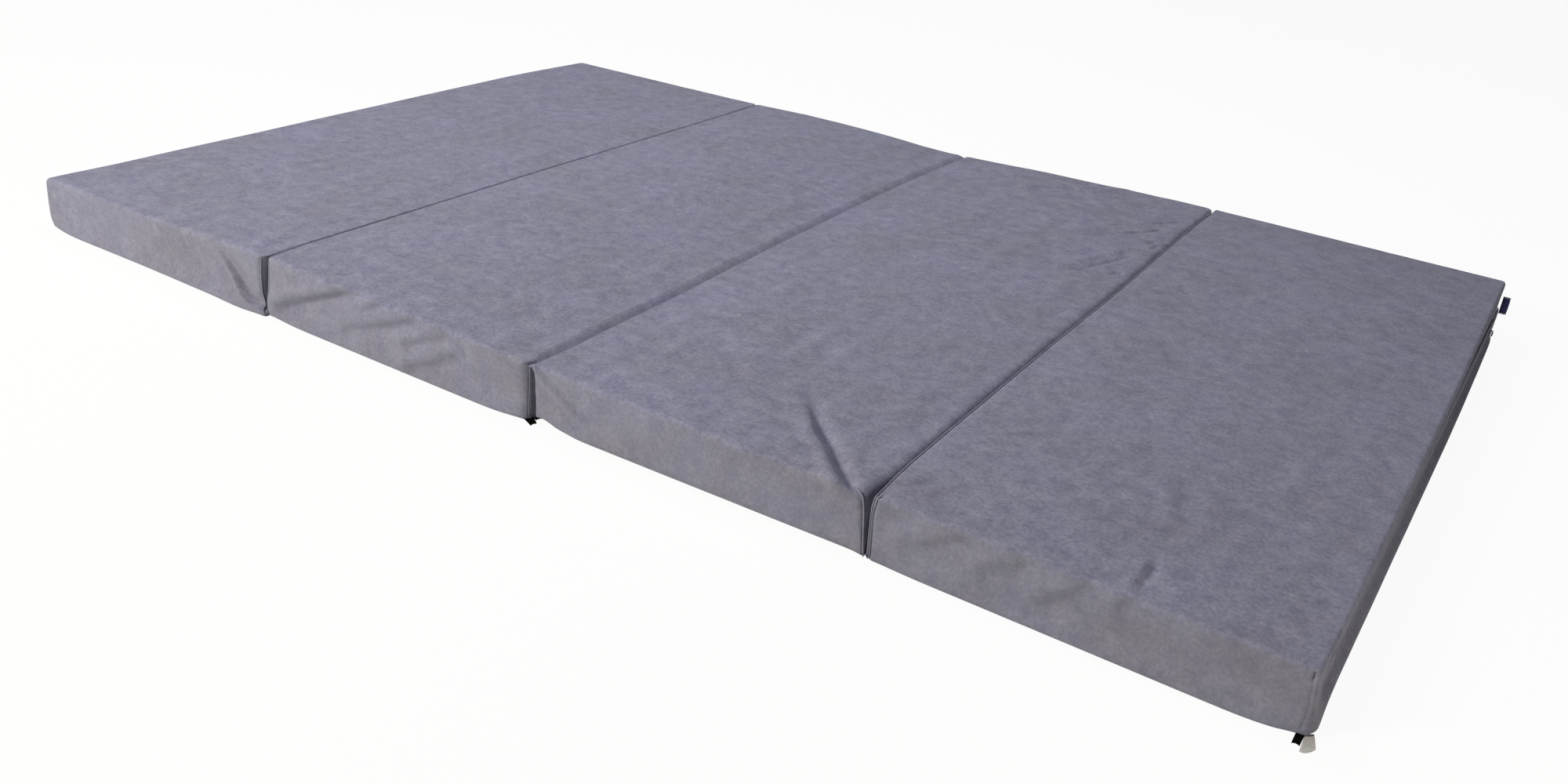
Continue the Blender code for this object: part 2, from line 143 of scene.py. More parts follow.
# How far the ends, and the front and back, are pulled in at mid height
PULL_IN = (0.9, 1.2)
# How far round a seam its cover is nipped, how far round a nip without a ridge, and the step along a seam
SEAM_REACH = 2.6
NIP_REACH = 1.6
SEAM_STEP = 2.5
# Seams, each up one of a panel's corners: name, side (-1 left, 1 right), end (-1 front, 1 back), degrees from
# straight ahead, how far on along the upper end edge or over which places of the top, radius, stand, groove
SEAMS = {
    1: (("right_front", 1, -1, 36, 0, 1.0, 0.8, 0.3), ("left_front", -1, -1, 52, 0, 0.8, 0.1, 0.3),
        ("left_back", -1, 1, 45, 0, 1.1, 0.3, 0.8), ("right_back", 1, 1, 45, 40, 1.1, 0.3, 0.8)),
    2: (("left_front", -1, -1, 62, 60, 1.0, 0.5, 0.5), ("right_outer", 1, -1, 52, 0, 0.7, 0.2, 0.4),
        ("right_inner", 1, -1, 61, 0, 0.7, 0.2, 0.4), ("left_back", -1, 1, 45, 40, 1.1, 0.3, 0.8),
        ("right_back", 1, 1, 45, 0, 1.1, 0.3, 0.8)),
    3: (("right_front", 1, -1, 45, ((485.5, -641.0), (477.0, -637.5), (469.0, -633.5)), 1.2, 0.6, 0.9),
        ("left_back", -1, 1, 45, 0, 1.1, 0.3, 0.8), ("right_back", 1, 1, 45, 40, 1.1, 0.3, 0.8)),
    4: (("left_outer", -1, -1, 66, 1270, 1.05, 0.5, 0.8),
        ("left_inner", -1, -1, 18, ((512.4, -645.0), (516, -637)), 0.8, 0.4, 1.3),
        ("right_back", 1, 1, 45, 0, 1.1, 0.3, 0.8)),
}
# Nips without a ridge: panel, side, end, degrees, share of the height from and to, depth
NIPS = ((4, 1, -1, 13, 0.12, 0.86, 2.6), (4, 1, -1, 13, 0.84, 0.96, 4.5))
# Slot over a zip: its upper and lower edge, its half length on the ends and the backs, its depth, and how far
# the cover is pulled in round it
ZIP_HIGH = 56.5
ZIP_LOW = 27.5
END_SLOT = 562.0
BACK_SLOT = 159.0
ZIP_RECESS = 1.7
ZIP_PULL_IN = 3.0
# Cloth simulation: how far the cover starts inside its shape, the furthest that it may move from there, the
# pressure in it, how firmly the foam holds it and from what share near the middle of a face, how far from an
# edge it is held, how much spare cloth it has, how stiffly it bends, and its last frame
SWELL_START = 1.3
SWELL_CAP = 4.5
PRESSURE = 4.0
PIN = 14.0
HOLD_SHARE = 0.15
HOLD_REACH = 22.0
SLACK = 0.0018
BENDING = 3.0
LAST_FRAME = 20


# Helpers

def steps(*runs):
    """Grid positions from runs of (length, cells), starting at zero."""
    out = [0.0]
    for length, cells in runs:
        out += [out[-1] + length * (k + 1) / cells for k in range(cells)]
    return np.array(out)


def smooth(t):
    t = np.clip(t, 0.0, 1.0)
    return t * t * (3 - 2 * t)


def mesh_object(name, points, faces, material, scale=MM):
    mesh = bpy.data.meshes.new(name)
    mesh.from_pydata((np.asarray(points, float) * scale).tolist(), [], [list(map(int, f)) for f in faces])
    mesh.polygons.foreach_set("use_smooth", [True] * len(mesh.polygons))
    mesh.materials.append(material)
    mesh.update()
    item = bpy.data.objects.new(name, mesh)
    bpy.context.scene.collection.objects.link(item)
    return item


def dress(item, slot, body, *nodes):
    """Attach a piece to the body that it moves with, and hide the CAD nodes that it stands for; the slot is
    not used.
    """
    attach(item, body)
    if nodes:
        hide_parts(*nodes)


def box_shell(xs, ys, zs):
    """Closed grid over a box: its points, quads, and the number of each grid position."""
    nx, ny, nz = len(xs), len(ys), len(zs)
    surface = np.zeros((nx, ny, nz), bool)
    surface[[0, -1]] = True
    surface[:, [0, -1]] = True
    surface[:, :, [0, -1]] = True
    number = np.full((nx, ny, nz), -1)
    number[surface] = np.arange(surface.sum())
    points = np.stack(np.meshgrid(xs, ys, zs, indexing="ij"), -1)[surface]
    quads = []
    for side, flip in (
        (number[0], True), (number[-1], False),
        (number[:, 0], False), (number[:, -1], True),
        (number[:, :, 0], True), (number[:, :, -1], False),
    ):
        ring = np.stack([side[:-1, :-1], side[1:, :-1], side[1:, 1:], side[:-1, 1:]], -1).reshape(-1, 4)
        quads.append(ring[:, ::-1] if flip else ring)
    return points, np.concatenate(quads), number


def nearest_on(line, points):
    """Each point's distance from a polyline, and the share of the line's length at the nearest place."""
    line = np.asarray(line, float)
    spans = np.linalg.norm(np.diff(line, axis=0), axis=1)
    before = np.concatenate([[0.0], np.cumsum(spans)])
    best = np.full(len(points), 1e9)
    share = np.zeros(len(points))
    for a, b, span, start in zip(line[:-1], line[1:], spans, before):
        t = np.clip(((points - a) @ (b - a)) / span ** 2, 0, 1)
        distance = np.linalg.norm(points - a - t[:, None] * (b - a), axis=1)
        closer = distance < best
        best[closer] = distance[closer]
        share[closer] = (start + t[closer] * span) / before[-1]
    return best, share


def fold_field(points, folds):
    """Height of the folds at unfolded points: (height, width, fade in, fade out, line)."""
    total = np.zeros(len(points))
    for height, width, fade_in, fade_out, line in folds:
        line = np.asarray(line, float)
        margin = 3.2 * width
        near = np.all((points > line.min(0) - margin) & (points < line.max(0) + margin), axis=1)
        if not near.any():
            continue
        distance, share = nearest_on(line, points[near])
        taper = smooth((share + 0.02) / (fade_in + 0.02)) * smooth((1.02 - share) / (fade_out + 0.02))
        total[near] += height * np.exp(-(distance / width) ** 2) * taper
    return total


def pleat(points, line, ridge, depth, steep, slow):
    """A lip along a line, with a steep drop on its upper side that comes back slowly.

    The drop deepens along the line."""
    line = np.asarray(line, float)
    distance, share = nearest_on(line, points)
    at = np.interp(points[:, 0], line[:, 0], line[:, 1])
    beyond = points[:, 1] > at
    grow = smooth(share / 0.75)
    lip = ridge * np.exp(-(distance / np.where(beyond, steep, 2.2 * steep)) ** 2) * smooth(share / 0.3)
    drop = depth * grow * (1 - np.exp(-(distance / steep) ** 2)) * np.exp(-distance / (slow * (1.6 - share)))
    stand = 0.2 * depth * grow * np.exp(-(distance / 50.0) ** 2)
    return lip + stand * ~beyond + (stand * np.exp(-distance / 6.0) - drop) * beyond


def waves(points, seed, count, low, high, height):
    """Soft random rise and fall, from plane waves of wavelength low to high."""
    random = np.random.default_rng(seed)
    total = np.zeros(len(points))
    for _ in range(count):
        length = low * (high / low) ** random.random()
        heading = random.random() * 2 * math.pi
        phase = random.random() * 2 * math.pi
        way = points[:, 0] * math.cos(heading) + points[:, 1] * math.sin(heading)
        total += np.sin(2 * math.pi * way / length + phase) * (length / high) ** 0.7
    return height * total / math.sqrt(count)


# Materials

def new_material(name):
    material = bpy.data.materials.new(name)
    material.use_nodes = True
    tree = material.node_tree
    return material, tree, tree.nodes["Principled BSDF"]


def feed(tree, made, inputs):
    """Give a node's inputs their values, or links from other nodes' outputs."""
    for key, value in inputs.items():
        if isinstance(value, bpy.types.NodeSocket):
            tree.links.new(value, made.inputs[key])
        else:
            made.inputs[key].default_value = value


def node(tree, kind, inputs=(), **settings):
    made = tree.nodes.new(kind)
    for key, value in settings.items():
        setattr(made, key, value)
    feed(tree, made, dict(inputs))
    return made


def noise(tree, scale, detail=2.0, roughness=0.5, stretch=None):
    place = node(tree, "ShaderNodeTexCoord").outputs["Object"]
    if stretch:
        place = node(tree, "ShaderNodeMapping", {"Scale": stretch, "Vector": place}).outputs["Vector"]
    inputs = {"Vector": place, "Scale": scale, "Detail": detail, "Roughness": roughness}
    return node(tree, "ShaderNodeTexNoise", inputs).outputs["Fac"]


def ramp(tree, source, low, high, dark, light):
    made = node(tree, "ShaderNodeValToRGB", {"Fac": source})
    for element, position, colour in zip(made.color_ramp.elements, (low, high), (dark, light)):
        element.position = position
        element.color = (*colour, 1)
    return made.outputs["Color"]


def mix(tree, factor, a, b, way="MIX"):
    return node(tree, "ShaderNodeMix", {"Factor": factor, "A": a, "B": b},
                data_type="RGBA", blend_type=way).outputs["Result"]


def multiply(tree, a, b):
    return mix(tree, 1.0, a, b, "MULTIPLY")


def bump(tree, source, distance, strength, before=None):
    inputs = {"Height": source, "Distance": distance, "Strength": strength}
    if before is not None:
        inputs["Normal"] = before
    return node(tree, "ShaderNodeBump", inputs).outputs["Normal"]


def velour(name, tint, mottle, fleck, cloud):
    """Short-pile plush: mottling on what lies flat, wide clouds, a fine pile, a little sheen."""
    material, tree, shader = new_material(name)

    def grey(level, blue=1.0):
        return (1 + level, 1 + level, 1 + level * blue)

    facing = node(tree, "ShaderNodeTexCoord").outputs["Normal"]
    upward = node(tree, "ShaderNodeSeparateXYZ", {"Vector": facing}).outputs["Z"]
    flat = node(tree, "ShaderNodeMapRange",
                {"Value": upward, "From Min": 0.1, "From Max": 0.95, "To Min": 0.6, "To Max": 1.0},
                interpolation_type="SMOOTHSTEP").outputs["Result"]
    mottled = ramp(tree, noise(tree, 44, 6.0, 0.68), 0.32, 0.68, grey(-mottle, 0.7), grey(mottle, 0.8))
    flecks = ramp(tree, noise(tree, 210, 3.0, 0.6), 0.34, 0.66, grey(-fleck), grey(fleck))
    level = mix(tree, flat, (1, 1, 1, 1), multiply(tree, mottled, flecks))
    warm = [c * (1 - cloud) * w for c, w in zip(tint, (1.018, 1.0, 0.972))]
    cool = [c * (1 + cloud) * w for c, w in zip(tint, (0.982, 1.0, 1.026))]
    clouds = ramp(tree, noise(tree, 9, 4.0, 0.55), 0.34, 0.66, warm, cool)
    pile = ramp(tree, noise(tree, 560, 2.0, 0.6), 0.3, 0.7, grey(-0.05), grey(0.05))
    soft = bump(tree, noise(tree, 150), 0.0012, 0.16)
    feed(tree, shader, {
        "Base Color": multiply(tree, multiply(tree, level, clouds), pile),
        "Normal": bump(tree, noise(tree, 900, 2.0, 0.7), 0.0006, 0.35, soft),
        "Roughness": 0.92,
        "Specular IOR Level": 0.12,
        "Sheen Weight": 0.22,
        "Sheen Roughness": 0.45,
        "Sheen Tint": (0.75, 0.76, 0.90, 1),
    })
    return material


def woven(name, dark, light, count, rough=0.7, sheen=0.1, specular=0.5):
    """Flat woven tape: fine ribs along all three ways."""
    material, tree, shader = new_material(name)
    ribs = []
    for way in ("X", "Y", "Z"):
        inputs = {"Vector": node(tree, "ShaderNodeTexCoord").outputs["Object"], "Scale": count,
                  "Distortion": 1.2, "Detail": 1.0}
        wave = node(tree, "ShaderNodeTexWave", inputs, wave_type="BANDS", bands_direction=way)
        ribs.append(wave.outputs["Color"])
    weave = mix(tree, 0.33, mix(tree, 0.5, ribs[0], ribs[1]), ribs[2])
    feed(tree, shader, {
        "Base Color": ramp(tree, weave, 0.2, 0.8, dark, light),
        "Normal": bump(tree, weave, 0.0003, 0.5),
        "Roughness": rough,
        "Specular IOR Level": specular,
        "Sheen Weight": sheen,
    })
    return material


def plastic(name, dark, light):
    material, tree, shader = new_material(name)
    feed(tree, shader, {
        "Base Color": ramp(tree, noise(tree, 300), 0.3, 0.7, dark, light),
        "Normal": bump(tree, noise(tree, 1500), 0.0001, 0.3),
        "Roughness": 0.38,
    })
    return material


def metal(name, dark, light):
    material, tree, shader = new_material(name)
    brushed = noise(tree, 900, 3.0, 0.6, (1, 1, 0.1))
    feed(tree, shader, {
        "Base Color": ramp(tree, brushed, 0.3, 0.7, dark, light),
        "Normal": bump(tree, brushed, 0.00005, 0.3),
        "Metallic": 1.0,
        "Roughness": 0.34,
    })
    return material


PLUSH = velour("plush", (0.222, 0.219, 0.276), 0.20, 0.16, 0.05)
# Seam cords: the body's velour made lighter, a painted highlight for the light that the rolled seam ridges
# catch, with weaker mottling
PIPING_PAINTED_HIGHLIGHT = velour("plush_seam_painted_highlight", (0.240, 0.237, 0.292), 0.08, 0.08, 0.03)
BLACK = woven("black_tape", (0.0015, 0.0015, 0.0015), (0.006, 0.006, 0.006), 700, 0.95, 0.0, 0.02)
SATIN = woven("white_satin", (0.52, 0.50, 0.46), (0.72, 0.70, 0.66), 900, 0.42, 0.2)
NAVY = woven("navy_label", (0.010, 0.010, 0.075), (0.030, 0.030, 0.150), 900)
SELVEDGE = woven("pale_selvedge", (0.30, 0.32, 0.42), (0.50, 0.52, 0.62), 900)
ZIP_CLOTH = woven("zip_cloth", (0.040, 0.040, 0.046), (0.070, 0.070, 0.078), 800)
COIL = plastic("coil", (0.030, 0.030, 0.034), (0.052, 0.052, 0.058))
STEEL = metal("steel", (0.26, 0.26, 0.27), (0.36, 0.36, 0.37))


# Folds seen in the cover

# Each fold: height, width, fade in, fade out, line. Front lines are (x, z), top lines (x, y), in millimetres
FRONT_FOLDS = {
    1: [
        (1.1, 5, 0.2, 0.3, [(-1013, 58), (-951, 38), (-933, 12)]),
        (0.9, 7, 0.4, 0.4, [(-660, 69), (-623, 50), (-583, 28)]),
        (-0.9, 6, 0.4, 0.4, [(-668, 54), (-631, 36)]),
        (0.7, 8, 0.4, 0.3, [(-552, 78), (-535, 56), (-524, 32)]),
        (1.0, 5, 0.3, 0.3, [(-748, 84), (-728, 66), (-716, 54)]),
        (1.0, 5, 0.3, 0.3, [(-706, 82), (-690, 62), (-672, 40)]),
        (-0.9, 6, 0.3, 0.3, [(-696, 84), (-680, 64), (-662, 42)]),
    ],
    2: [
        (2.0, 8, 0.15, 0.2, [(-498, 11), (-453, 41), (-393, 66), (-328, 88)]),
        (-3.0, 6.5, 0.15, 0.2, [(-481, 9), (-420, 35), (-361, 61), (-313, 85), (-281, 96)]),
        (1.0, 6, 0.15, 0.2, [(-306, 70), (-266, 90)]),
        (-1.6, 5, 0.15, 0.2, [(-307, 59), (-276, 74), (-252, 90)]),
        (1.8, 8, 0.15, 0.2, [(-364, 27), (-308, 46), (-238, 72), (-193, 90)]),
        (-2.2, 7, 0.15, 0.2, [(-349, 17), (-270, 43), (-208, 69), (-172, 88)]),
        (1.6, 8, 0.15, 0.2, [(-240, 40), (-165, 71), (-136, 82)]),
        (-1.9, 7, 0.15, 0.2, [(-225, 29), (-173, 55), (-130, 74)]),
        (1.5, 8, 0.15, 0.2, [(-234, 9), (-181, 34), (-152, 52), (-108, 72)]),
        (-2.1, 7, 0.15, 0.2, [(-219, 5), (-160, 25), (-123, 46), (-108, 59)]),
        (-0.8, 4, 0.15, 0.2, [(-106, 72), (-104, 50)]),
        (-0.8, 6, 0.15, 0.2, [(-431, 83), (-383, 85)]),
    ],
    3: [
        (2.0, 4.5, 0.1, 0.2, [(13, 88), (40, 63), (73, 41), (105, 21), (125, 10)]),
        (-1.2, 5, 0.3, 0.3, [(14, 70), (34, 50), (67, 29), (97, 10)]),
        (-1.0, 6, 0.3, 0.3, [(30, 84), (53, 68), (85, 47), (119, 26)]),
    ],
    4: [
        (-2.0, 7, 0.15, 0.2, [(520, 48), (543, 67), (569, 89)]),
        (1.6, 8, 0.15, 0.2, [(527, 35), (564, 56), (608, 79), (625, 93)]),
        (-2.3, 7, 0.15, 0.2, [(539, 22), (580, 41), (611, 62), (640, 85)]),
        (1.6, 8, 0.15, 0.2, [(628, 41), (661, 63), (687, 85)]),
        (-2.4, 7, 0.15, 0.2, [(642, 34), (682, 55), (696, 73), (707, 91)]),
        (1.9, 8, 0.15, 0.2, [(695, 27), (727, 53), (746, 68), (756, 89)]),
        (-2.8, 7, 0.15, 0.2, [(698, 8), (730, 35), (752, 59), (762, 73), (768, 91)]),
        (1.3, 6, 0.15, 0.2, [(781, 59), (792, 71), (798, 89)]),
        (-1.8, 5, 0.15, 0.2, [(797, 62), (806, 70), (811, 89)]),
    ],
}
# Pleat of the first panel's front: line, lip, depth, width of its wall, reach of its hollow
PLEAT = ([(-610, 85), (-598, 71), (-586, 57), (-573, 42), (-562, 32), (-552, 23), (-541, 16), (-531, 12),
          (-518, 10), (-505, 9)], 1.6, 13.0, 2.4, 14.0)
TOP_FOLDS = {
    1: [],
    2: [
        (0.9, 6, 0.3, 0.3, [(-388, -626), (-384, -604), (-380, -592)]),
        (-1.6, 5, 0.3, 0.3, [(-374, -624), (-361, -598)]),
        (-0.7, 5, 0.3, 0.3, [(-429, -632), (-403, -615)]),
        (-1.2, 9, 0.4, 0.3, [(-78, 82), (-50, 139), (-18, 206)]),
        (0.8, 9, 0.4, 0.3, [(-63, 215), (-8, 317)]),
    ],
    3: [
        (-3.6, 9, 0.3, 0.0, [(306, -481), (338, -496), (368, -534), (407, -572), (449, -609), (478, -632),
                             (495, -646)]),
        (2.6, 11, 0.3, 0.0, [(339, -524), (378, -571), (414, -603), (446, -631), (466, -648)]),
        (-1.3, 10, 0.35, 0.1, [(160, 496), (218, 544), (294, 591), (360, 621), (419, 641)]),
        (1.6, 12, 0.35, 0.1, [(159, 518), (215, 564), (289, 610), (349, 639)]),
        (-1.1, 10, 0.4, 0.2, [(179, 602), (239, 612), (307, 638)]),
        (-0.7, 9, 0.4, 0.4, [(342, 504), (389, 539), (437, 571)]),
        (-0.55, 9, 0.4, 0.3, [(326, 393), (394, 445), (456, 514)]),
        (-1.3, 9, 0.4, 0.1, [(343, 316), (391, 375), (436, 448), (477, 494)]),
        (1.4, 10, 0.4, 0.1, [(329, 326), (376, 385), (419, 458), (454, 499)]),
        (-0.8, 8, 0.4, 0.1, [(453, 358), (476, 412), (489, 436)]),
        (-1.3, 9, 0.4, 0.1, [(398, 115), (421, 191), (440, 248), (465, 308)]),
        (1.5, 10, 0.4, 0.1, [(385, 129), (406, 203), (426, 260), (449, 320)]),
        (-0.8, 8, 0.4, 0.1, [(443, 121), (473, 159), (489, 187)]),
        (-2.2, 5.5, 0.3, 0.2, [(247, 548), (296, 583), (345, 602), (384, 622)]),
        (-1.8, 5, 0.3, 0.2, [(375, 549), (425, 575), (457, 589)]),
        (-2.0, 5.5, 0.3, 0.1, [(368, 395), (420, 448), (453, 491), (478, 524)]),
        (-2.4, 5.5, 0.3, 0.1, [(357, 315), (402, 370), (442, 421), (464, 458), (483, 472)]),
        (-2.2, 4.5, 0.3, 0.1, [(468, 366), (476, 396), (492, 411)]),
        (-1.8, 4, 0.3, 0.1, [(480, 350), (487, 366), (494, 368)]),
        (-2.4, 5.5, 0.3, 0.2, [(411, 146), (428, 181), (450, 239), (463, 278), (475, 294)]),
        (-1.6, 4, 0.3, 0.2, [(467, 184), (479, 203), (490, 209)]),
    ],
    4: [
        (-2.1, 6.5, 0.2, 0.5, [(810, -634), (809, -608), (811, -592), (808, -574), (801, -543)]),
        (1.5, 6, 0.2, 0.5, [(798, -638), (799, -608), (800, -585), (796, -560)]),
        (1.2, 14, 0.4, 0.4, [(752, -372), (779, -443), (790, -478), (806, -538)]),
        (-1.5, 12, 0.4, 0.4, [(772, -356), (798, -449), (814, -501), (817, -538)]),
        (0.9, 8, 0.2, 0.5, [(521, -642), (542, -611), (567, -583), (592, -569)]),
        (0.9, 8, 0.2, 0.5, [(519, -604), (542, -554), (566, -504)]),
        (-0.9, 8, 0.2, 0.5, [(515, -609), (546, -581), (561, -549)]),
        (-0.7, 7, 0.3, 0.5, [(575, -631), (606, -623)]),
        (-0.8, 6, 0.2, 0.4, [(758, -644), (766, -616), (779, -601)]),
    ],
}


# Panels

# Length of the outermost run of every grid, which is wrapped round an edge: along, across, up
WRAP = (5.0, 8.0, 6.0)
X_WRAP, Y_WRAP, FLOOR_WRAP, TOP_WRAP = (WRAP[0], 3), (WRAP[1], 4), (WRAP[2], 3), (WRAP[2], 4)
BESIDE = (21, 11)
# Runs of grid cells along, across and up each panel, finer where its folds are narrow
X_STEPS = {number: steps(X_WRAP, BESIDE, (442.5, 98), BESIDE, X_WRAP) for number in (2, 4)}
X_STEPS[1] = steps(X_WRAP, BESIDE, (332.5, 74), (110, 55), BESIDE, X_WRAP)
X_STEPS[3] = steps(X_WRAP, BESIDE, (222.5, 50), (220, 80), BESIDE, X_WRAP)
Y_STEPS = {number: steps(Y_WRAP, (102, 32), (1087, 136), (95, 20), Y_WRAP) for number in (1, 2, 4)}
Y_STEPS[3] = steps(Y_WRAP, (132, 44), (550, 68), (507, 150), (95, 26), Y_WRAP)
Z_STEPS = {number: steps(FLOOR_WRAP, (72, 26), TOP_WRAP) for number in (2, 3, 4)}
Z_STEPS[1] = steps(FLOOR_WRAP, (72, 34), TOP_WRAP)
# Coarse grid of the simulation
COARSE_RUNS = ((484.5, 36), (1284, 92), (72, 6))
COARSE = tuple(steps((wrap, 1), run, (wrap, 1)) for wrap, run in zip(WRAP, COARSE_RUNS))


def along_line(table, at):
    """Value of a table of (place, value) pairs, eased between its places."""
    places, values = (np.array(row, float) for row in zip(*table))
    slope = np.gradient(values, places)
    at = np.clip(at, places[0], places[-1])
    k = np.clip(np.searchsorted(places, at) - 1, 0, len(places) - 2)
    gap = places[k + 1] - places[k]
    t = (at - places[k]) / gap
    return ((2 * t ** 3 - 3 * t ** 2 + 1) * values[k] + (t ** 3 - 2 * t ** 2 + t) * gap * slope[k]
            + (3 * t ** 2 - 2 * t ** 3) * values[k + 1] + (t ** 3 - t ** 2) * gap * slope[k + 1])


def lift(x, y):
    """How much the top stands above or below its nominal height."""
    t = (y - FRONT) / (BACK - FRONT)
    return along_line(FRONT_LIFT, x) * (1 - t) + along_line(BACK_LIFT, x) * t


def edge_shift(number, side, y, z):
    """Sideways place of a panel's left (0) or right (1) face against its nominal plane."""
    fade = EDGE_FADE[number - 1 + side] * (1 + 3 * (1 - smooth((z - 48) / 30)) * ((number, side) == (1, 1)))
    near_front = np.exp(-((y - FRONT) / fade) ** 2)
    total = along_line(LINES[number - 1 + side], y)
    total = total + near_front * along_line(FRONT_EDGE[number, side], z)
    if (number, side) in ((1, 1), (2, 0), (3, 1), (4, 0)):
        out = 1.0 if side else -1.0
        total = total + out * TOP_CLOSE * smooth((z - 40) / 30) * (1 - near_front)
    return total


def round_corner(points, corner, side, end, size):
    """Bring what lies beyond an upright corner's arc, in plan, back onto it."""
    middle = corner - np.stack([side * size, end * size], -1)
    away = (points[:, :2] - middle) * np.array([side, end])
    far = np.hypot(away[:, 0], away[:, 1])
    beyond = (away[:, 0] > 0) & (away[:, 1] > 0) & (far > size)
    keep = np.where(beyond, size / np.maximum(far, 1e-6), 1.0)
    points[:, :2] = middle + (points[:, :2] - middle) * keep[:, None]


def rounded_box(number, xs, ys, zs):
    """Box whose grid has its outermost run on each side wrapped round an edge of its own radius.

    Gives points, quads, grid numbers, outward directions, and the flat grid's own places."""
    left, right = ENDS[number - 1]
    own, quads, grid = box_shell(left + xs, FRONT + ys, zs)
    half = np.array([(right - left) / 2, (BACK - FRONT) / 2, HEIGHT / 2])
    middle = np.array([(left + right) / 2, 0.0, HEIGHT / 2])
    local = own - middle
    round_left, round_right = ROUNDING[number]
    low = local[:, 2] < 0
    radius_x = np.where(low, END_LOW_RADIUS, np.where(local[:, 0] > 0, round_right, round_left))
    radius_y = np.where(low & (local[:, 1] < 0), LOW_ROUNDING[number], LONG_RADIUS)
    near_end = np.exp(-((half[0] - np.abs(local[:, 0])) / EDGE_BLEND) ** 2)
    radius_z = radius_y + (np.minimum(radius_x + 0.5, radius_y) - radius_y) * near_end
    radius = np.stack([radius_x, radius_y, radius_z], -1)
    reach = np.array(WRAP)
    inner = np.clip(local, -(half - reach), half - reach)
    unit = (local - inner) / reach
    unit /= np.linalg.norm(unit, axis=1, keepdims=True)
    points = middle + inner * (half - radius) / (half - reach) + unit * radius
    normal = unit / radius
    normal /= np.linalg.norm(normal, axis=1, keepdims=True)
    return points, quads, grid, normal, own


def round_uprights(number, points, high):
    """Round a panel's four upright corners in plan."""
    for which, plane in enumerate(ENDS[number - 1]):
        side = 2 * which - 1
        low_size, high_size = CORNERS[number][which]
        open_up = smooth(points[:, 2] / 20.0) if (number, which) == (1, 1) else high ** 1.5
        size = low_size + (high_size - low_size) * open_up
        round_corner(points, np.array([plane, FRONT]), side, -1, size)
        back_size = np.full(len(points), float(BACK_CORNERS[number][which]))
        round_corner(points, np.array([plane, BACK]), side, 1, back_size)


def shares(number, x, y):
    """How far along its panel, and how far from the front to the back, each place is."""
    left, right = ENDS[number - 1]
    return (x - left) / (right - left), (y - FRONT) / (BACK - FRONT)


def raise_top(number, points, place, high):
    """Foam's crown, soft over the last few centimetres, and the top's own rise and fall."""
    left, right = ENDS[number - 1]
    x, y, z = place
    u, v = shares(number, x, y)
    edge_x = 1 - np.exp(-np.minimum(x - left, right - x).clip(0) / CROWN_REACH[0])
    edge_y = 1 - np.exp(-np.minimum(y - FRONT, BACK - y).clip(0) / CROWN_REACH[1])
    crown = CROWN * edge_x * edge_y * (0.75 + 0.25 * np.sin(math.pi * u) * np.sin(math.pi * v))
    points[:, 2] += lift(x, y) * high + crown * smooth((z - 45) / 35) * high
    if number == 3:
        at_front, at_back, reach_x = SHOULDER
        fall = at_front + (at_back - at_front) * v
        points[:, 2] -= fall * np.exp(-((right - x) / reach_x) ** 2) * high ** 2
    if number == 1:
        droop, far = DROOP
        points[:, 2] -= droop * np.exp(-((right - x) / far) ** 2 - ((y - FRONT) / far) ** 2) * high ** 2


def draw_sides(number, points, place, normal, pull_x, pull_y):
    """Sides pulled in at mid height and swelling out low down."""
    left, right = ENDS[number - 1]
    x, _, z = place
    u, v = shares(number, x, place[1])
    points[:, 0] -= normal[:, 0] * pull_x
    points[:, 1] -= normal[:, 1] * pull_y
    from_end = np.minimum(x - left, right - x).clip(0)
    swell = np.exp(-(z / SWELL_HIGH) ** 2) * (1 - np.exp(-(from_end / SWELL_FADE) ** 2))
    at_left, at_right = FRONT_SWELL[number]
    points[:, 1] -= (at_left * (1 - u) + at_right * u) * swell * (1 - v) ** 8
    points[:, 1] += BACK_SWELL * swell * v ** 8
    if number == 1:
        bulge, first, run, tall = FOOT_BULGE
        points[:, 1] -= bulge * smooth((x - first) / run) * np.exp(-(z / tall) ** 2) * (1 - v) ** 8


def follow_lines(number, points, place, normal, pull_x, pull_y):
    """Each end follows its gap's line; a zip's band stays on its tape, with a slot over the zip."""
    left, right = ENDS[number - 1]
    x, y, z = place
    u, _ = shares(number, x, y)
    band = smooth((z - 8) / 16) * smooth((78 - z) / 16)
    band_y = band * smooth((640 - np.abs(y)) / 80)
    drawn_in = (ZIP_PULL_IN - pull_x) * band_y * np.abs(normal[:, 0])
    moves = [edge_shift(number, 0, y, z), edge_shift(number, 1, y, z)]
    if number == 1:
        moves[0] = moves[0] * (1 - band_y) + drawn_in
    if number == 4:
        corner = np.exp(-((y - FRONT) / 10.0) ** 2) + np.exp(-((BACK - y) / 30.0) ** 2)
        moves[1] = moves[1] + END_SWELL * np.exp(-(z / SWELL_HIGH) ** 2) * (1 - corner)
        moves[1] = moves[1] * (1 - band_y) - drawn_in
    near_left = np.exp(-(x - left).clip(0) / END_REACH)
    near_right = np.exp(-(right - x).clip(0) / END_REACH)
    points[:, 0] += along_line(LINES[number - 1], y) * (1 - u) * (1 - near_left) + moves[0] * near_left
    points[:, 0] += along_line(LINES[number], y) * u * (1 - near_right) + moves[1] * near_right

    if number in (1, 4):
        out, axis = (-1 if number == 1 else 1), 0
        along, half_slot = np.abs(y), END_SLOT
    else:
        out, axis = 1, 1
        along, half_slot = np.abs(x - (left + right) / 2), BACK_SLOT
        on_back = normal[:, 1] > 0.5
        points[:, 1] -= on_back * (ZIP_PULL_IN - pull_y) * band * smooth((half_slot + 60 - along) / 60)
    facing = normal[:, axis] * out > 0.7
    slot = smooth((z - ZIP_LOW) / 2.4) * smooth((ZIP_HIGH - z) / 2.4) * smooth((half_slot - along) / 5)
    points[:, axis] -= out * ZIP_RECESS * slot * facing


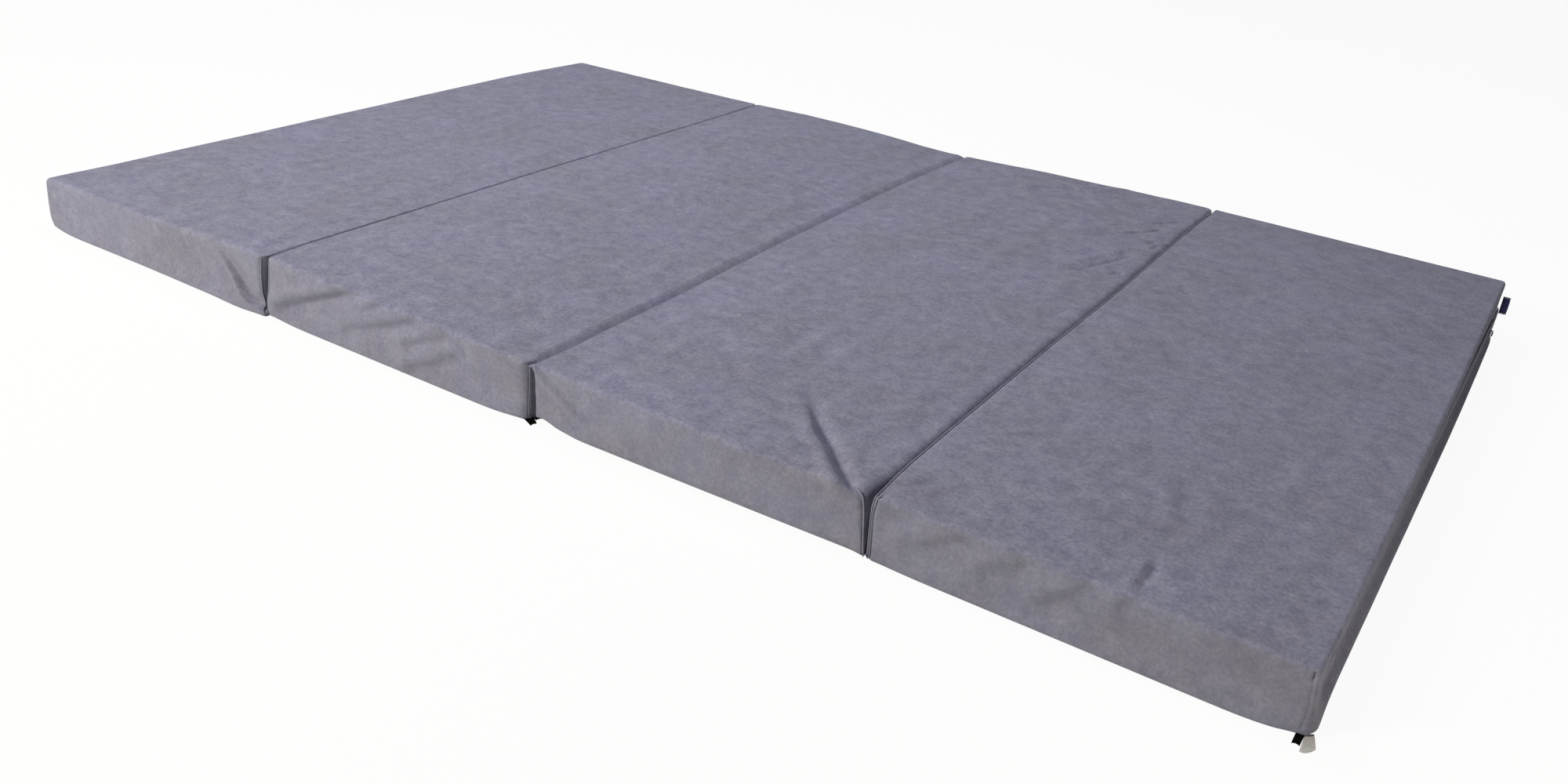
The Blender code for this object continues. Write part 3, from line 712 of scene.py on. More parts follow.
def fold_height(number, own):
    """How far the folds and the cloth's unevenness lift each place, from its own place on the flat grid."""
    left, right = ENDS[number - 1]
    x, y, z = own.T
    on_front = y <= FRONT + 1e-6
    on_top = (z >= HEIGHT - 1e-6) & ~on_front
    # Unfolded place: x along, and the way up the front and over the top
    flat = np.stack([x, np.where(on_front, z, HEIGHT + (y - FRONT))], -1)
    weight = (on_front | on_top).astype(float)
    ends = ~(on_front | on_top) & ((x <= left + 1e-6) | (x >= right - 1e-6))
    from_front = np.exp(-((y - FRONT) / FOLD_WRAP) ** 2)
    from_top = np.exp(-((HEIGHT - z) / FOLD_WRAP) ** 2)
    use_front = ends & (from_front > from_top)
    flat[use_front, 1] = z[use_front]
    weight[ends] = np.maximum(from_front, from_top)[ends]
    u, _ = shares(number, x, y)
    flat[:, 0] += along_line(LINES[number - 1], y) * (1 - u) + along_line(LINES[number], y) * u
    upper = [(h * TOP_RELIEF, w, a, b, [(px, HEIGHT + (py - FRONT)) for px, py in line])
             for h, w, a, b, line in TOP_FOLDS[number]]
    deeper, wider = FRONT_RELIEF[number]
    lower = [(h * deeper, w * wider, a, b, line) for h, w, a, b, line in FRONT_FOLDS[number]]
    move = fold_field(flat, lower + upper) * weight
    if number == 1:
        near = weight * (flat[:, 1] < HEIGHT + 6) * (flat[:, 0] > -640)
        move += pleat(flat, *PLEAT) * near * smooth((HEIGHT + 6 - flat[:, 1]) / 12)

    from_end = np.minimum(x - left, right - x)
    quiet = (1 - 0.7 * np.exp(-from_end / 12.0)) * np.where(z <= 1e-6, 0.15, 1.0)
    calm = (1 - np.exp(-(from_end / 60.0) ** 2)) * (1 - np.exp(-z / 15.0))
    spread = np.stack([x + 0.6 * z, y - 0.9 * z], -1)
    for (seed, *shape), share in ((BROAD_WAVES, quiet), (FRONT_WAVES, on_front * calm), (FINE_WAVES, quiet)):
        move += waves(spread, seed + number, WAVE_COUNT, *shape) * share
    return move


def panel_surface(number, xs, ys, zs, simulated=None):
    """Points, quads and grid numbers of one panel's cover, and its outward directions.

    simulated adds the simulated swelling; False leaves the folds out too."""
    points, quads, grid, normal, own = rounded_box(number, xs, ys, zs)
    high = points[:, 2].clip(0, HEIGHT) / HEIGHT
    round_uprights(number, points, high)
    place = points.T.copy()
    raise_top(number, points, place, high)
    pulls = [share * 4 * high * (1 - high) for share in PULL_IN]
    draw_sides(number, points, place, normal, *pulls)
    follow_lines(number, points, place, normal, *pulls)
    if simulated is False:
        points[:, 2] = np.maximum(points[:, 2], 0.0)
        return points, quads, grid, normal

    if simulated is not None:
        points += spread_out(simulated, own - [ENDS[number - 1][0], FRONT, 0.0], quads)
    points += normal * fold_height(number, own)[:, None]
    foot = np.interp(place[0], *zip(*FOOT)) * np.exp(-((place[1] - FRONT) / 40.0) ** 2)
    points[:, 2] += foot * (1 - points[:, 2] / 50.0).clip(0)
    points[:, 2] = np.maximum(points[:, 2], 0.0)
    free = TALLEST - SLOWING
    over = points[:, 2] > free
    points[over, 2] = free + SLOWING * (1 - np.exp(-(points[over, 2] - free) / SLOWING))
    return points, quads, grid, normal


def swollen(number):
    """Cloth simulation of the cover round its foam: how far each place of a coarse grid moves."""
    points, quads, grid, normal = panel_surface(number, *COARSE, False)
    sizes = np.array([places[-1] for places in COARSE])
    local = np.stack(np.meshgrid(*COARSE, indexing="ij"), -1)[grid >= 0]
    to_rim = np.sort(np.minimum(local, sizes - local), axis=1)[:, 1]
    held = np.exp(-(to_rim / HOLD_REACH) ** 2)
    under = local[:, 2] <= 0
    start = points - normal * (SWELL_START * (1 - held))[:, None]
    item = mesh_object("swelling", start, quads, PLUSH)
    group = item.vertex_groups.new(name="foam")
    for index, weight in enumerate(np.where(under, 1.0, HOLD_SHARE + (1 - HOLD_SHARE) * held)):
        group.add([index], float(weight), "REPLACE")
    cloth = item.modifiers.new("cloth", "CLOTH").settings
    cloth.quality = 6
    cloth.mass = 0.3
    cloth.use_pressure = True
    cloth.uniform_pressure_force = PRESSURE
    cloth.vertex_group_mass = "foam"
    cloth.pin_stiffness = PIN
    cloth.shrink_min = -SLACK
    cloth.bending_stiffness = BENDING
    cloth.effector_weights.gravity = 0.0
    scene = bpy.context.scene
    for moment in range(1, LAST_FRAME + 1):
        scene.frame_set(moment)
    seen = item.evaluated_get(bpy.context.evaluated_depsgraph_get())
    after = np.empty(len(points) * 3)
    seen.data.vertices.foreach_get("co", after)
    moved = after.reshape(-1, 3) / MM - start
    length = np.linalg.norm(moved, axis=1, keepdims=True)
    moved *= SWELL_CAP * np.tanh(length / SWELL_CAP) / np.maximum(length, 1e-9)
    scene.frame_set(1)
    bpy.data.objects.remove(item)
    out = np.zeros(grid.shape + (3,))
    out[grid >= 0] = (start + moved - points) * np.where(under, 0.0, 1.0)[:, None]
    return out


def spread_out(field, local, quads):
    """The coarse grid's movement read at the fine grid's places, and smoothed over them."""
    cell, share = [], []
    for axis in range(3):
        at = np.clip(np.searchsorted(COARSE[axis], local[:, axis], "right") - 1, 0, len(COARSE[axis]) - 2)
        cell.append(at)
        share.append((local[:, axis] - COARSE[axis][at]) / (COARSE[axis][at + 1] - COARSE[axis][at]))
    total = np.zeros((len(local), 3))
    for i in (0, 1):
        for j in (0, 1):
            for k in (0, 1):
                part = [share[axis] if step else 1 - share[axis] for axis, step in enumerate((i, j, k))]
                total += (part[0] * part[1] * part[2])[:, None] * field[cell[0] + i, cell[1] + j, cell[2] + k]
    pairs = np.concatenate([quads[:, [0, 1]], quads[:, [1, 2]], quads[:, [2, 3]], quads[:, [3, 0]]])
    count = np.bincount(pairs[:, 0], minlength=len(local))[:, None]
    for _ in range(8):
        sums = [np.bincount(pairs[:, 0], total[pairs[:, 1], axis], len(local)) for axis in range(3)]
        total = 0.5 * total + 0.5 * np.stack(sums, -1) / count
    return total


def corner_line(points, grid, side, end, angle):
    """Where an upright corner stands out furthest in one direction, level by level."""
    cells = np.arange(20)
    column, row = (0 if side < 0 else -1), (0 if end < 0 else -1)
    i = cells if side < 0 else -1 - cells
    j = cells if end < 0 else -1 - cells
    ring = points[np.concatenate([grid[i, row, :], grid[column, j, :][1:]])]
    angle = math.radians(angle)
    way = np.array((side * math.sin(angle), end * math.cos(angle)))
    score = ring[..., :2] @ way
    share = np.exp((score - score.max(0)) / 0.4)
    share /= share.sum(0)
    line = (ring * share[..., None]).sum(0)
    line[:, :2] += (score.max(0) - line[:, :2] @ way)[:, None] * way
    return line


def rim_line(points, grid, side, end):
    """Upper outline of a corner, from the front or back round to the side and along it."""
    column, row = (0 if side < 0 else -1), (0 if end < 0 else -1)
    i = np.arange(20) if side < 0 else -1 - np.arange(20)
    j = np.arange(1, grid.shape[1] - 1) if end < 0 else -1 - np.arange(1, grid.shape[1] - 1)
    return points[np.concatenate([grid[i[::-1], row, -1], grid[column, j, -1]])]


def evenly(line, gap):
    """A polyline read at even steps."""
    length = np.concatenate([[0], np.cumsum(np.linalg.norm(np.diff(line, axis=0), axis=1))])
    at = np.linspace(0, length[-1], int(length[-1] / gap) + 2)
    return np.stack([np.interp(at, length, line[:, k]) for k in range(3)], -1)


def seam_path(points, grid, tree, side, end, angle, over):
    """Line of a seam on the cover: up its corner, then along the rim or over the top."""
    line = corner_line(points, grid, side, end, angle)
    if isinstance(over, tuple):
        top = []
        for x, y in over:
            top.append(tuple(tree.ray_cast(Vector((x, y, 200.0)), Vector((0, 0, -1)))[0]))
        line = np.concatenate([line[:-1], np.array(top)])
    elif over:
        rim = rim_line(points, grid, side, end)
        start = int(np.argmin(np.linalg.norm(rim - line[-1], axis=1)))
        rim = rim[start + 1:]
        far = np.concatenate([[0], np.cumsum(np.linalg.norm(np.diff(rim, axis=0), axis=1))])
        line = np.concatenate([line, rim[far <= over]])
    return soften(evenly(line, SEAM_STEP), 5)


def on_cover(tree, line):
    """Nearest places on the cover and smoothed outward directions there."""
    found = [tree.find_nearest(Vector(p)) for p in line]
    place = np.array([tuple(f[0]) for f in found])
    out = soften(np.array([tuple(f[1]) for f in found]), 6)
    return place, out / np.linalg.norm(out, axis=1, keepdims=True)


def nip(points, normal, plane, line, depth, reach):
    """Press a groove into the cover along a line near one of its ends."""
    index = np.where(np.abs(points[:, 0] - plane) < 50)[0]
    distance = np.empty(len(index))
    for start in range(0, len(index), 3000):
        part = points[index[start:start + 3000]]
        distance[start:start + 3000] = np.sqrt(((part[:, None] - line[None]) ** 2).sum(-1).min(1))
    points[index] -= normal[index] * (depth * np.exp(-(distance / reach) ** 2))[:, None]


def seam_tube(name, line, radius, sides, material):
    """Round cord along an open line, thinned to nothing at both ends."""
    line = np.asarray(line, float)
    ahead = np.gradient(line, axis=0)
    ahead /= np.linalg.norm(ahead, axis=1, keepdims=True)
    guide = np.array([1.0, 0.05, 0.02])
    across = guide - ahead * (ahead @ guide)[:, None]
    across /= np.linalg.norm(across, axis=1, keepdims=True)
    third = np.cross(ahead, across)
    angle = np.arange(sides) * 2 * math.pi / sides
    length = np.concatenate([[0], np.cumsum(np.linalg.norm(np.diff(line, axis=0), axis=1))])
    ends = smooth(length / 7.0) * smooth((length[-1] - length) / 7.0)
    radius = radius * (0.12 + 0.88 * ends)
    rings = (line[:, None] + radius[:, None, None] * (
        across[:, None] * np.cos(angle)[None, :, None] + third[:, None] * np.sin(angle)[None, :, None]))
    rings[..., 2] = np.maximum(rings[..., 2], 0.0)
    n = len(line)
    quads = []
    for k in range(n - 1):
        for c in range(sides):
            this, other = k * sides + c, k * sides + (c + 1) % sides
            quads.append((this, this + sides, other + sides, other))
    quads.append(tuple(range(sides)))
    quads.append(tuple(range(n * sides - 1, (n - 1) * sides - 1, -1)))
    return mesh_object(name, rings.reshape(-1, 3), quads, material)


def soften(line, rounds):
    for _ in range(rounds):
        line[1:-1] = 0.25 * line[:-2] + 0.5 * line[1:-1] + 0.25 * line[2:]
    return line


def press(number, item):
    """Give the two middle panels' pieces meshes of their own."""
    if number in (2, 3):
        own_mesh(item)


panels = {}
for number in (1, 2, 3, 4):
    body = f"panel_{number}"
    points, quads, grid, normal = panel_surface(number, X_STEPS[number], Y_STEPS[number], Z_STEPS[number],
                                                swollen(number))
    # Seams: the cover is nipped along each, and a narrow rolled ridge stands there
    tree = BVHTree.FromPolygons([Vector(p) for p in points], quads.tolist())
    tubes = []
    for label, side, end, angle, over, radius, stand, groove in SEAMS[number]:
        place, out = on_cover(tree, seam_path(points, grid, tree, side, end, angle, over))
        tubes.append((label, side, place, soften(place + out * stand, 2), radius, groove))
    for panel, side, end, angle, first, last, depth in NIPS:
        if panel == number:
            line = evenly(corner_line(points, grid, side, end, angle), 1.5)
            first, last = (round(t * (len(line) - 1)) for t in (first, last))
            nip(points, normal, ENDS[number - 1][side > 0], line[first:last], depth, NIP_REACH)
    for label, side, place, middle, radius, groove in tubes:
        nip(points, normal, ENDS[number - 1][side > 0], place, groove, SEAM_REACH)
        places = np.stack([np.arange(len(middle)) * SEAM_STEP, np.zeros(len(middle))], -1)
        wobble = waves(places, number * 7 + side, 9, 30, 160, 0.10)
        # The cord takes the lighter seam plush, whose lift in tone is a painted highlight
        tube = seam_tube(f"seam_{number}_{label}", middle, radius + wobble, 8, PIPING_PAINTED_HIGHLIGHT)
        dress(tube, "velour", body)
        press(number, tube)
    cover = mesh_object(f"cover_panel_{number}", points, quads, PLUSH)
    dress(cover, "velour", body, f"cover_{number}", f"foam_core_{number}")
    press(number, cover)
    panels[number] = (cover, points, grid)


# Fabric hinges

def thin_sheet(name, rows, material, thickness):
    """Cloth of one thickness over rows of points; each row runs across."""
    rows = np.asarray(rows, float)
    ny, nx = rows.shape[:2]
    along = np.gradient(rows, axis=0)
    across = np.gradient(rows, axis=1)
    normal = np.cross(across, along)
    normal /= np.linalg.norm(normal, axis=2, keepdims=True)
    upper = rows + normal * thickness / 2
    lower = rows - normal * thickness / 2
    number = np.arange(ny * nx).reshape(ny, nx)
    low = number + ny * nx
    quads = []

    def grid_quads(g, flip):
        q = np.stack([g[:-1, :-1], g[:-1, 1:], g[1:, 1:], g[1:, :-1]], -1).reshape(-1, 4)
        quads.append(q[:, ::-1] if flip else q)

    grid_quads(number, False)
    grid_quads(low, True)
    for line, low_line, flip in (
        (number[0], low[0], True), (number[-1], low[-1], False),
        (number[:, 0], low[:, 0], False), (number[:, -1], low[:, -1], True),
    ):
        q = np.stack([line[:-1], line[1:], low_line[1:], low_line[:-1]], -1)
        quads.append(q[:, ::-1] if flip else q)
    return mesh_object(name, np.concatenate([upper.reshape(-1, 3), lower.reshape(-1, 3)]),
                       np.concatenate(quads), material)


def edge_line(number, side, top, rows, column=0):
    """A panel's upper or lower end edge, or a line some cells in from it, read at given depths."""
    points, grid = panels[number][1:]
    chain = points[grid[column if side == 0 else -1 - column, :, -1 if top else 0]]
    return np.stack([np.interp(rows, chain[:, 1], chain[:, k]) for k in range(3)], -1)


def bend_with(item):
    """Bake a piece's placement into its mesh."""
    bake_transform(item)


def floor_hinge(index, left, web):
    """Strip of cover fabric between two panels' lower edges, standing up a little between them."""
    rows = np.concatenate([[-649.0, -647.5, -645.0, -641.0], np.linspace(-636, 640, 200), [644.0, 647.0]])
    a = edge_line(left, 1, False, rows)
    b = edge_line(left + 1, 0, False, rows)
    a[:, 1] = b[:, 1] = rows
    share = np.linspace(0, 1, 11)
    rise = np.where(share < 0.5, smooth(share * 2), smooth((1 - share) * 2))
    wave = waves(np.stack([rows, np.zeros(len(rows))], -1), 90 + index, 12, 40, 260, 0.5)
    sheet = []
    for k, y in enumerate(rows):
        line = a[k] * (1 - share[:, None]) + b[k] * share[:, None]
        line[:, 2] += rise * (3.5 + wave[k] + np.exp(-((y + 649.0) / 18.0) ** 2) * web)
        line[:, 2] = np.maximum(line[:, 2], 0.75)
        sheet.append(line)
    strip = thin_sheet(f"hinge_cloth_{index}", sheet, PLUSH, 1.3)
    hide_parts(f"hinge_strip_{index}")
    bend_with(strip)


def top_hinge():
    """Fabric that dips from the second panel's shoulder over the slit and climbs to the third's edge."""
    rows = np.concatenate([[-645.5, -644.0, -641.5, -638.0, -633.0], np.linspace(-627, 640, 200),
                           [644.0, 647.0]])
    a = edge_line(2, 1, True, rows, 3)
    b = edge_line(3, 0, True, rows)
    shoulder = edge_line(2, 1, True, rows)
    near = np.exp(-((rows + 645.5) / 13.0) ** 2)
    a = a * (1 - near[:, None]) + shoulder * near[:, None]
    a[:, 1] = b[:, 1] = rows
    share = np.concatenate([np.linspace(0, 0.78, 14), [0.82, 0.86, 0.89, 0.92, 0.95, 0.975, 1.0]])
    wave = waves(np.stack([rows, np.zeros(len(rows))], -1), 92, 12, 40, 260, 0.4)
    sheet = []
    for k, y in enumerate(rows):
        low_at = 0.86 - 0.40 * near[k]
        depth = 7.6 + wave[k] - 3.4 * near[k]
        down = (share / low_at) ** (1.7 - 0.6 * near[k])
        drop = np.where(share < low_at, down, smooth((1 - share) / (1 - low_at)))
        line = a[k] * (1 - share[:, None]) + b[k] * share[:, None]
        line[:, 2] -= drop * depth + near[k] * 3.0 * (1 - share) ** 2
        line[:, 2] += 0.35 * smooth(share / 0.15) - 0.5 * (1 - smooth(share / 0.10))
        line[-1, 2] -= 0.4
        sheet.append(line)
    strip = thin_sheet("hinge_cloth_2", sheet, PLUSH, 0.8)
    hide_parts("hinge_strip_2")
    bend_with(strip)


floor_hinge(1, 1, 3.0)
top_hinge()
floor_hinge(3, 3, 0.0)


# Zips

END_CHAIN = 554.0
BACK_CHAIN = 151.25
# Each zip: middle, way along it, way out of the cover, half its chain's length
ZIPS = {
    1: ((ENDS[0][0], 0.0, HEIGHT / 2), (0, 1, 0), (-1, 0, 0), END_CHAIN),
    2: ((sum(ENDS[1]) / 2, BACK, HEIGHT / 2), (1, 0, 0), (0, 1, 0), BACK_CHAIN),
    3: ((sum(ENDS[2]) / 2, BACK, HEIGHT / 2), (1, 0, 0), (0, 1, 0), BACK_CHAIN),
    4: ((ENDS[3][1], 0.0, HEIGHT / 2), (0, 1, 0), (1, 0, 0), END_CHAIN),
}
TAPE_PAST_CHAIN = 5.7
TEETH_PITCH = 1.55
STOP = 3.4
# Outline of a tooth across the zip: (place, rise, half length along the zip), and over its back: shares of
# the half length and the rise
TOOTH = ((-2.9, 0.75, 0.45), (-1.9, 1.45, 0.62), (0.6, 1.5, 0.62), (1.25, 0.8, 0.5))
TOOTH_SHARES = ((-1, 0.0), (-1, 0.62), (-0.5, 1.0), (0.5, 1.0), (1, 0.62), (1, 0.0))
# Outline of an end stop across the zip: (place, rise), and along it: (place, how far it sinks)
STOP_ACROSS = ((-4.1, 0.2), (-3.4, 1.35), (3.4, 1.35), (4.1, 0.2))
STOP_ALONG = ((0.0, 0.25), (0.5, 0.0), (STOP - 0.5, 0.0), (STOP, 0.25))
# Outline of the lip beside a zip: (place across the zip, place out of the cover's plane)
LIP = ((5.0, -3.1), (4.9, -2.2), (5.6, -1.45), (7.2, -1.25), (9.6, -1.5), (12.2, -2.3), (15.0, -3.3),
       (15.0, -4.4), (9.0, -3.5))


def placed(number, local):
    """Zip coordinates (along, up, out of the side plane) as points."""
    middle, along, out, _ = ZIPS[number]
    local = np.asarray(local, float)
    return (np.array(middle) + local[..., 0:1] * np.array(along)
            + local[..., 1:2] * np.array((0, 0, 1.0)) + local[..., 2:3] * np.array(out))


def outward(number):
    """Whether the zip's own axes make a right-handed set."""
    _, along, out, _ = ZIPS[number]
    return np.cross(along, (0, 0, 1)) @ np.array(out) > 0


def bands(base, rows, columns, closed):
    """Quads between rows of points; closed joins each row's last point to its first."""
    for r in range(rows - 1):
        for c in range(columns if closed else columns - 1):
            this, other = base + r * columns + c, base + r * columns + (c + 1) % columns
            yield (this, other, other + columns, this + columns)


def zip_teeth(number):
    """Coil of a zip as separate teeth from both sides in turn, and its two end stops."""
    span = ZIPS[number][3] - STOP
    count = int(2 * span / TEETH_PITCH)
    across, over = len(TOOTH), len(TOOTH_SHARES)
    points, faces = [], []
    for k in range(count):
        base = len(points)
        s = -span + (k + 0.5) * 2 * span / count
        side = 1 if k % 2 else -1
        for v, rise, half_along in TOOTH:
            for ds, w in TOOTH_SHARES:
                points.append((s + ds * half_along, v * -side, -2.85 + w * rise))
        turned = (side > 0) ^ outward(number)
        near = tuple(range(base, base + over))[::-1]
        far = tuple(range(base + (across - 1) * over, base + across * over))
        faces += [q if turned else q[::-1] for q in (*bands(base, across, over, True), near, far)]
    for end in (-1, 1):
        base = len(points)
        for v, w in STOP_ACROSS:
            for further, sink in STOP_ALONG:
                points.append((end * (span + further), v, -2.9 + max(w - sink, 0.05)))
        for v in (-4.1, 4.1):
            for further in (0, STOP):
                points.append((end * (span + further), v, -2.93))
        turned = (end > 0) ^ (not outward(number))
        a, b, c, d = (base + 16 + k for k in range(4))
        rim = [
            (a, b, base + 3, base + 2, base + 1, base),
            (d, c, base + 12, base + 13, base + 14, base + 15),
            (c, a, base, base + 4, base + 8, base + 12),
            (b, d, base + 15, base + 11, base + 7, base + 3),
            (b, a, c, d),
        ]
        faces += [q if turned else q[::-1] for q in (*bands(base, 4, 4, False), *rim)]
    item = mesh_object(f"zip_teeth_{number}", placed(number, points), faces, COIL)
    item.data.polygons.foreach_set("use_smooth", [False] * len(item.data.polygons))
    dress(item, "coil", f"panel_{number}", f"zip_chain_{number}")


def zip_lip(number, up):
    """Folded edge of the cover beside the zip, laid over the zip's tape."""
    tape_half = ZIPS[number][3] + TAPE_PAST_CHAIN
    further = 76.0 if number in (1, 4) else 30.0
    stations = np.arange(-tape_half - further, tape_half + further + 0.01, 5.0)
    places = np.stack([stations, np.zeros(len(stations))], -1)
    wobble = waves(places, 200 + number * 2 + (up > 0), 10, 40, 220, 0.35)
    points = []
    for s, sway in zip(stations, wobble):
        close = smooth((abs(s) - tape_half + 3) / 9)
        fade = smooth((abs(s) - tape_half - 4) / (further - 8))
        for v, w in LIP:
            v = v - 4.6 * close * (v < 8) - 1.5 * close * (v >= 8)
            w = w + (0.6 - 1.6 * fade) * close
            points.append((s, up * (v + (sway if v > 6 else abs(sway) * 0.4)), w + 0.4 * sway * (w > -2)))
    turned = (up > 0) ^ outward(number)
    n = len(LIP)
    last = (len(stations) - 1) * n
    ends = [tuple(range(n))[::-1], tuple(range(last, last + n))]
    quads = [q[::-1] if turned else q for q in (*bands(0, len(stations), n, True), *ends)]
    name = f"zip_lip_{number}_{'upper' if up > 0 else 'lower'}"
    item = mesh_object(name, placed(number, points), quads, PLUSH)
    dress(item, "velour", f"panel_{number}")


def paint(name, material):
    """Give a CAD node that stays its own material."""
    slots = frame["nodes"][name].data.materials
    slots.clear()
    slots.append(material)


for number in (1, 2, 3, 4):
    zip_teeth(number)
    zip_lip(number, 1)
    zip_lip(number, -1)
    paint(f"zip_tape_{number}", ZIP_CLOTH)
    paint(f"zip_slider_{number}", STEEL)
    paint(f"zip_pull_{number}", STEEL)


# Tapes and labels

FLAP_ROWS = 15
FLAP_CELLS = 13


def flap(name, corners, hollow, level, curl, thickness, material):
    """Flat tape or label on the floor between its two side lines, its far end cut in a curve."""
    left_near, left_far, right_near, right_far = (np.array(p, float) for p in corners)
    ahead = (left_far + right_far - left_near - right_near) / 2
    ahead /= np.linalg.norm(ahead)
    rows = []
    for t in np.linspace(0, 1, FLAP_ROWS):
        row = []
        for v in np.linspace(0, 1, FLAP_CELLS):
            side = 2 * v - 1
            near = left_near * (1 - v) + right_near * v
            far = left_far * (1 - v) + right_far * v - ahead * hollow * (1 - side * side)
            place = near * (1 - t) + far * t
            rise = (0.5 + 0.5 * math.sin(3.1 * t + 0.8)) * smooth(t) + 0.25 * side * side * t
            row.append((place[0], place[1], level + curl * rise))
        rows.append(row)
    return thin_sheet(name, rows, material, thickness)


def on_floor(name, nodes, body, slot, corners, *shape, way=1):
    """A flap whose corners are given for the front; way -1 lays it at the back."""
    corners = [(x, way * y) for x, y in corners]
    if way < 0:
        corners = corners[2:] + corners[:2]
    item = flap(name, corners, *shape)
    dress(item, slot, body, *nodes)
    return item


# Corners of the flaps at the front: left side near and far, right side near and far
TAPE_2 = ((-3.0, -634.0), (15.0, -647.4), (-8.5, -646.5), (13.2, -656.6))
TAIL_2 = ((1.0, -626.0), (10.6, -631.5), (-3.0, -634.0), (7.5, -640.5))
TAPE_4 = ((1000.0, -644.0), (999.6, -664.6), (991.5, -645.0), (991.7, -664.7))
CARE_FLAP = ((1007.3, -637.0), (1013.9, -660.4), (999.6, -643.0), (1001.3, -673.3))
# Each tape: its corners, hollow of its cut end, level, curl, thickness
TAPE_SHAPES = {2: (TAPE_2, 2.6, 1.15, 0.6, 1.1), 4: (TAPE_4, 2.2, 1.15, 0.6, 1.1)}
TAIL_SHAPE = (TAIL_2, 1.5, 0.9, 0.3, 0.9)
for place, way in (("front", 1), ("back", -1)):
    for number, shape in TAPE_SHAPES.items():
        name, body = f"tape_{number}_{place}", f"panel_{number}"
        on_floor(name, [f"closure_{name}"], body, "black_tape", *shape, BLACK, way=way)
        if number == 2:
            on_floor(f"{name}_tail", [], body, "black_tape", *TAIL_SHAPE, BLACK, way=way)
item = on_floor("care_flap", ["care_label"], "panel_4", "white_satin", CARE_FLAP, -3.5, 1.0, 1.6, 0.7, SATIN)

# Ribbon in the back corner seam: where it comes out, half its width, its pale borders, and its loop's outline
# in plan: (how far out, how far to the side)
RIBBON = (999.6, 647.1, 57.0)
RIBBON_HALF = 15.0
RIBBON_BORDER = 2.4
LOOP = ((-2.0, -0.75), (2.0, -0.8), (6.0, -0.95), (8.2, -0.8), (9.0, 0.0), (8.2, 0.8), (6.0, 0.95),
        (2.0, 0.8), (-2.0, 0.75))


def side_label():
    """Folded ribbon sewn into the back corner seam, with its loop outward."""
    rows = []
    for out, side in LOOP:
        row = []
        for v in np.linspace(-1, 1, 15):
            full = 1 - v * v
            row.append((RIBBON[0] + out + 0.5 * full * (out > 1), RIBBON[1] + side * (0.75 + 0.25 * full),
                        RIBBON[2] + v * RIBBON_HALF))
        rows.append(row)
    item = thin_sheet("navy_label", rows, NAVY, 0.45)
    item.data.materials.append(SELVEDGE)
    for face in item.data.polygons:
        if abs(face.center.z / MM - RIBBON[2]) > RIBBON_HALF - RIBBON_BORDER:
            face.material_index = 1
    dress(item, "navy_label", "panel_4", "side_label")


side_label()


# Stage

def seen(tree, *kinds):
    """1 for rays of these kinds, to which a surface shows white instead of its light."""
    path = node(tree, "ShaderNodeLightPath")
    total = path.outputs[kinds[0]]
    for kind in kinds[1:]:
        either = node(tree, "ShaderNodeMath", {0: total, 1: path.outputs[kind]}, operation="MAXIMUM")
        total = either.outputs[0]
    return total


FLOOR_HALF = 16000
FLOOR_LEVEL = -0.6
FLOOR_WHITE = 0.94


def floor():
    material, tree, shader = new_material("studio_floor")
    feed(tree, shader, {"Base Color": (0.90, 0.87, 0.78, 1), "Roughness": 0.9, "Specular IOR Level": 0.0})
    rays = seen(tree, "Is Camera Ray", "Is Glossy Ray", "Is Transmission Ray")
    share = node(tree, "ShaderNodeMath", {0: rays, 1: FLOOR_WHITE}, operation="MULTIPLY").outputs[0]
    glow = node(tree, "ShaderNodeEmission").outputs[0]
    both = node(tree, "ShaderNodeMixShader", {0: share, 1: shader.outputs[0], 2: glow})
    feed(tree, tree.nodes["Material Output"], {"Surface": both.outputs[0]})
    corners = [(i * FLOOR_HALF, j * FLOOR_HALF, FLOOR_LEVEL) for i, j in ((-1, -1), (1, -1), (1, 1), (-1, 1))]
    mesh_object("studio_floor", corners, [(0, 1, 2, 3)], material)


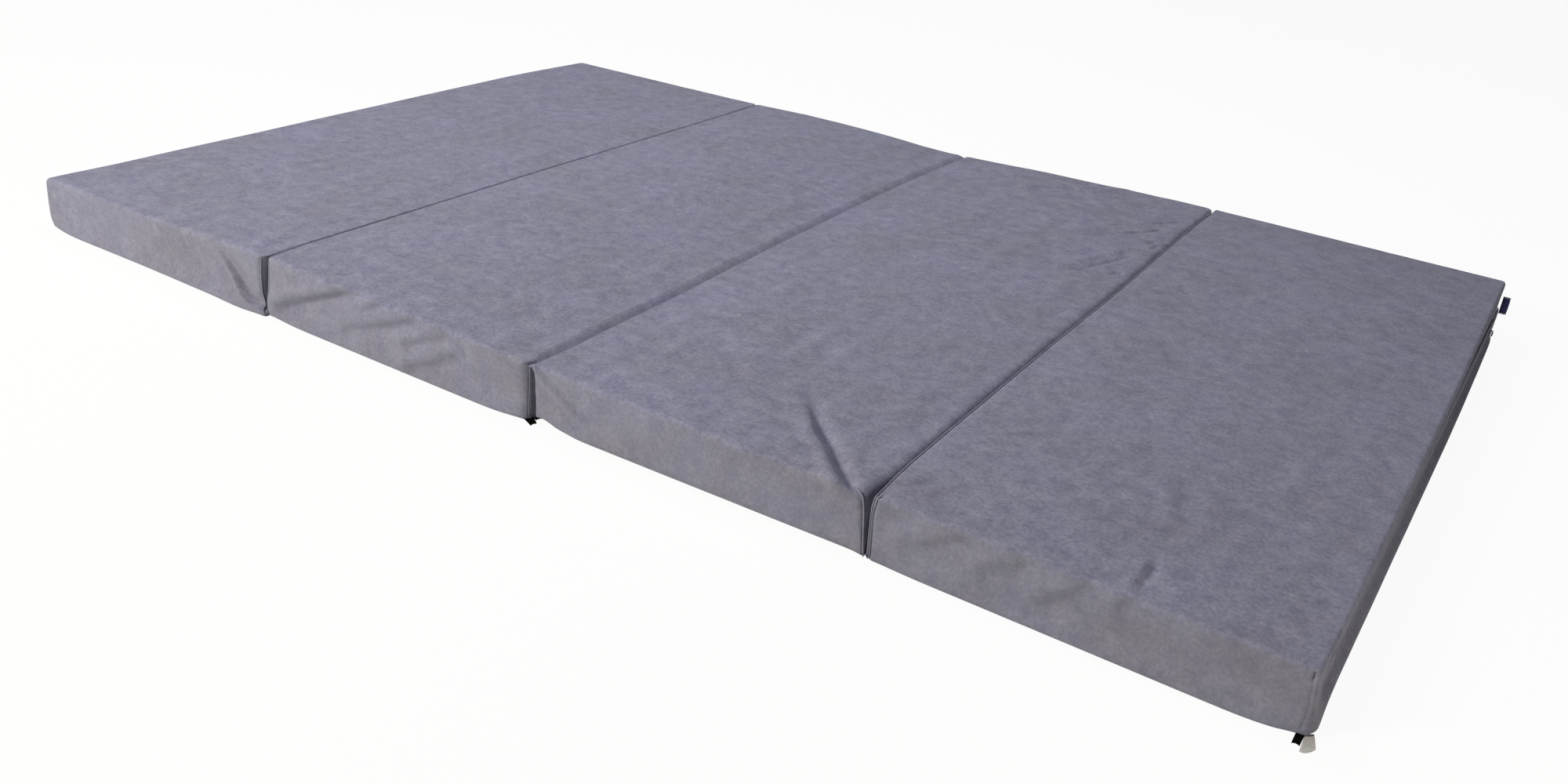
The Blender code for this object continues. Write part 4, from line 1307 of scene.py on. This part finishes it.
def world():
    made = bpy.data.worlds.new("studio")
    bpy.context.scene.world = made
    made.use_nodes = True
    tree = made.node_tree
    light = tree.nodes["Background"]
    feed(tree, light, {"Color": (0.40, 0.55, 1.0, 1), "Strength": 0.012})
    white = node(tree, "ShaderNodeBackground", {"Color": (1, 1, 1, 1), "Strength": 1.0})
    both = node(tree, "ShaderNodeMixShader",
                {0: seen(tree, "Is Camera Ray", "Is Glossy Ray"), 1: light.outputs[0], 2: white.outputs[0]})
    feed(tree, tree.nodes["World Output"], {"Surface": both.outputs[0]})


def lamp(name, place, target, size, power, colour):
    """Round soft lamp at a place, facing a target, unseen by the camera."""
    data = bpy.data.lights.new(name, "AREA")
    data.shape = "DISK"
    data.size = size
    data.energy = power
    data.color = colour
    data.spread = math.pi
    item = bpy.data.objects.new(name, data)
    item.location = place
    item.rotation_mode = "QUATERNION"
    item.rotation_quaternion = (Vector(target) - Vector(place)).to_track_quat("-Z", "Y")
    item.visible_camera = False
    bpy.context.scene.collection.objects.link(item)


floor()
world()
lamp("key", (-2.2, -3.9, 2.5), (-0.6, -0.2, 0.0), 1.2, 207, (1.0, 0.969, 0.893))
lamp("ceiling", (-0.8, 0.2, 3.0), (-0.3, 0.0, 0.0), 2.4, 61, (0.85, 0.89, 1.0))
lamp("right", (2.4, -1.6, 0.5), (1.0, -0.6, 0.0), 0.8, 1.6, (1.0, 0.96, 0.97))
lamp("end", (2.0, -0.7, 0.2), (1.0, -0.5, 0.04), 0.3, 3.6, (1.0, 0.94, 0.82))

# Camera: place in metres, and degrees of tilt up from straight down, roll, and turn to the left
CAMERA_PLACE = (1.08661255, -1.85671318, 0.85761834)
CAMERA_TURN = (63.741033, -4.650436, 32.580470)
data = bpy.data.cameras.new("camera")
data.lens = 31.904
data.sensor_width = 36.0
camera = bpy.data.objects.new("camera", data)
turn = Euler([math.radians(angle) for angle in CAMERA_TURN])
camera.matrix_world = Matrix.Translation(CAMERA_PLACE) @ turn.to_matrix().to_4x4()
bpy.context.scene.collection.objects.link(camera)
bpy.context.scene.camera = camera
bpy.context.scene.view_settings.view_transform = "Standard"
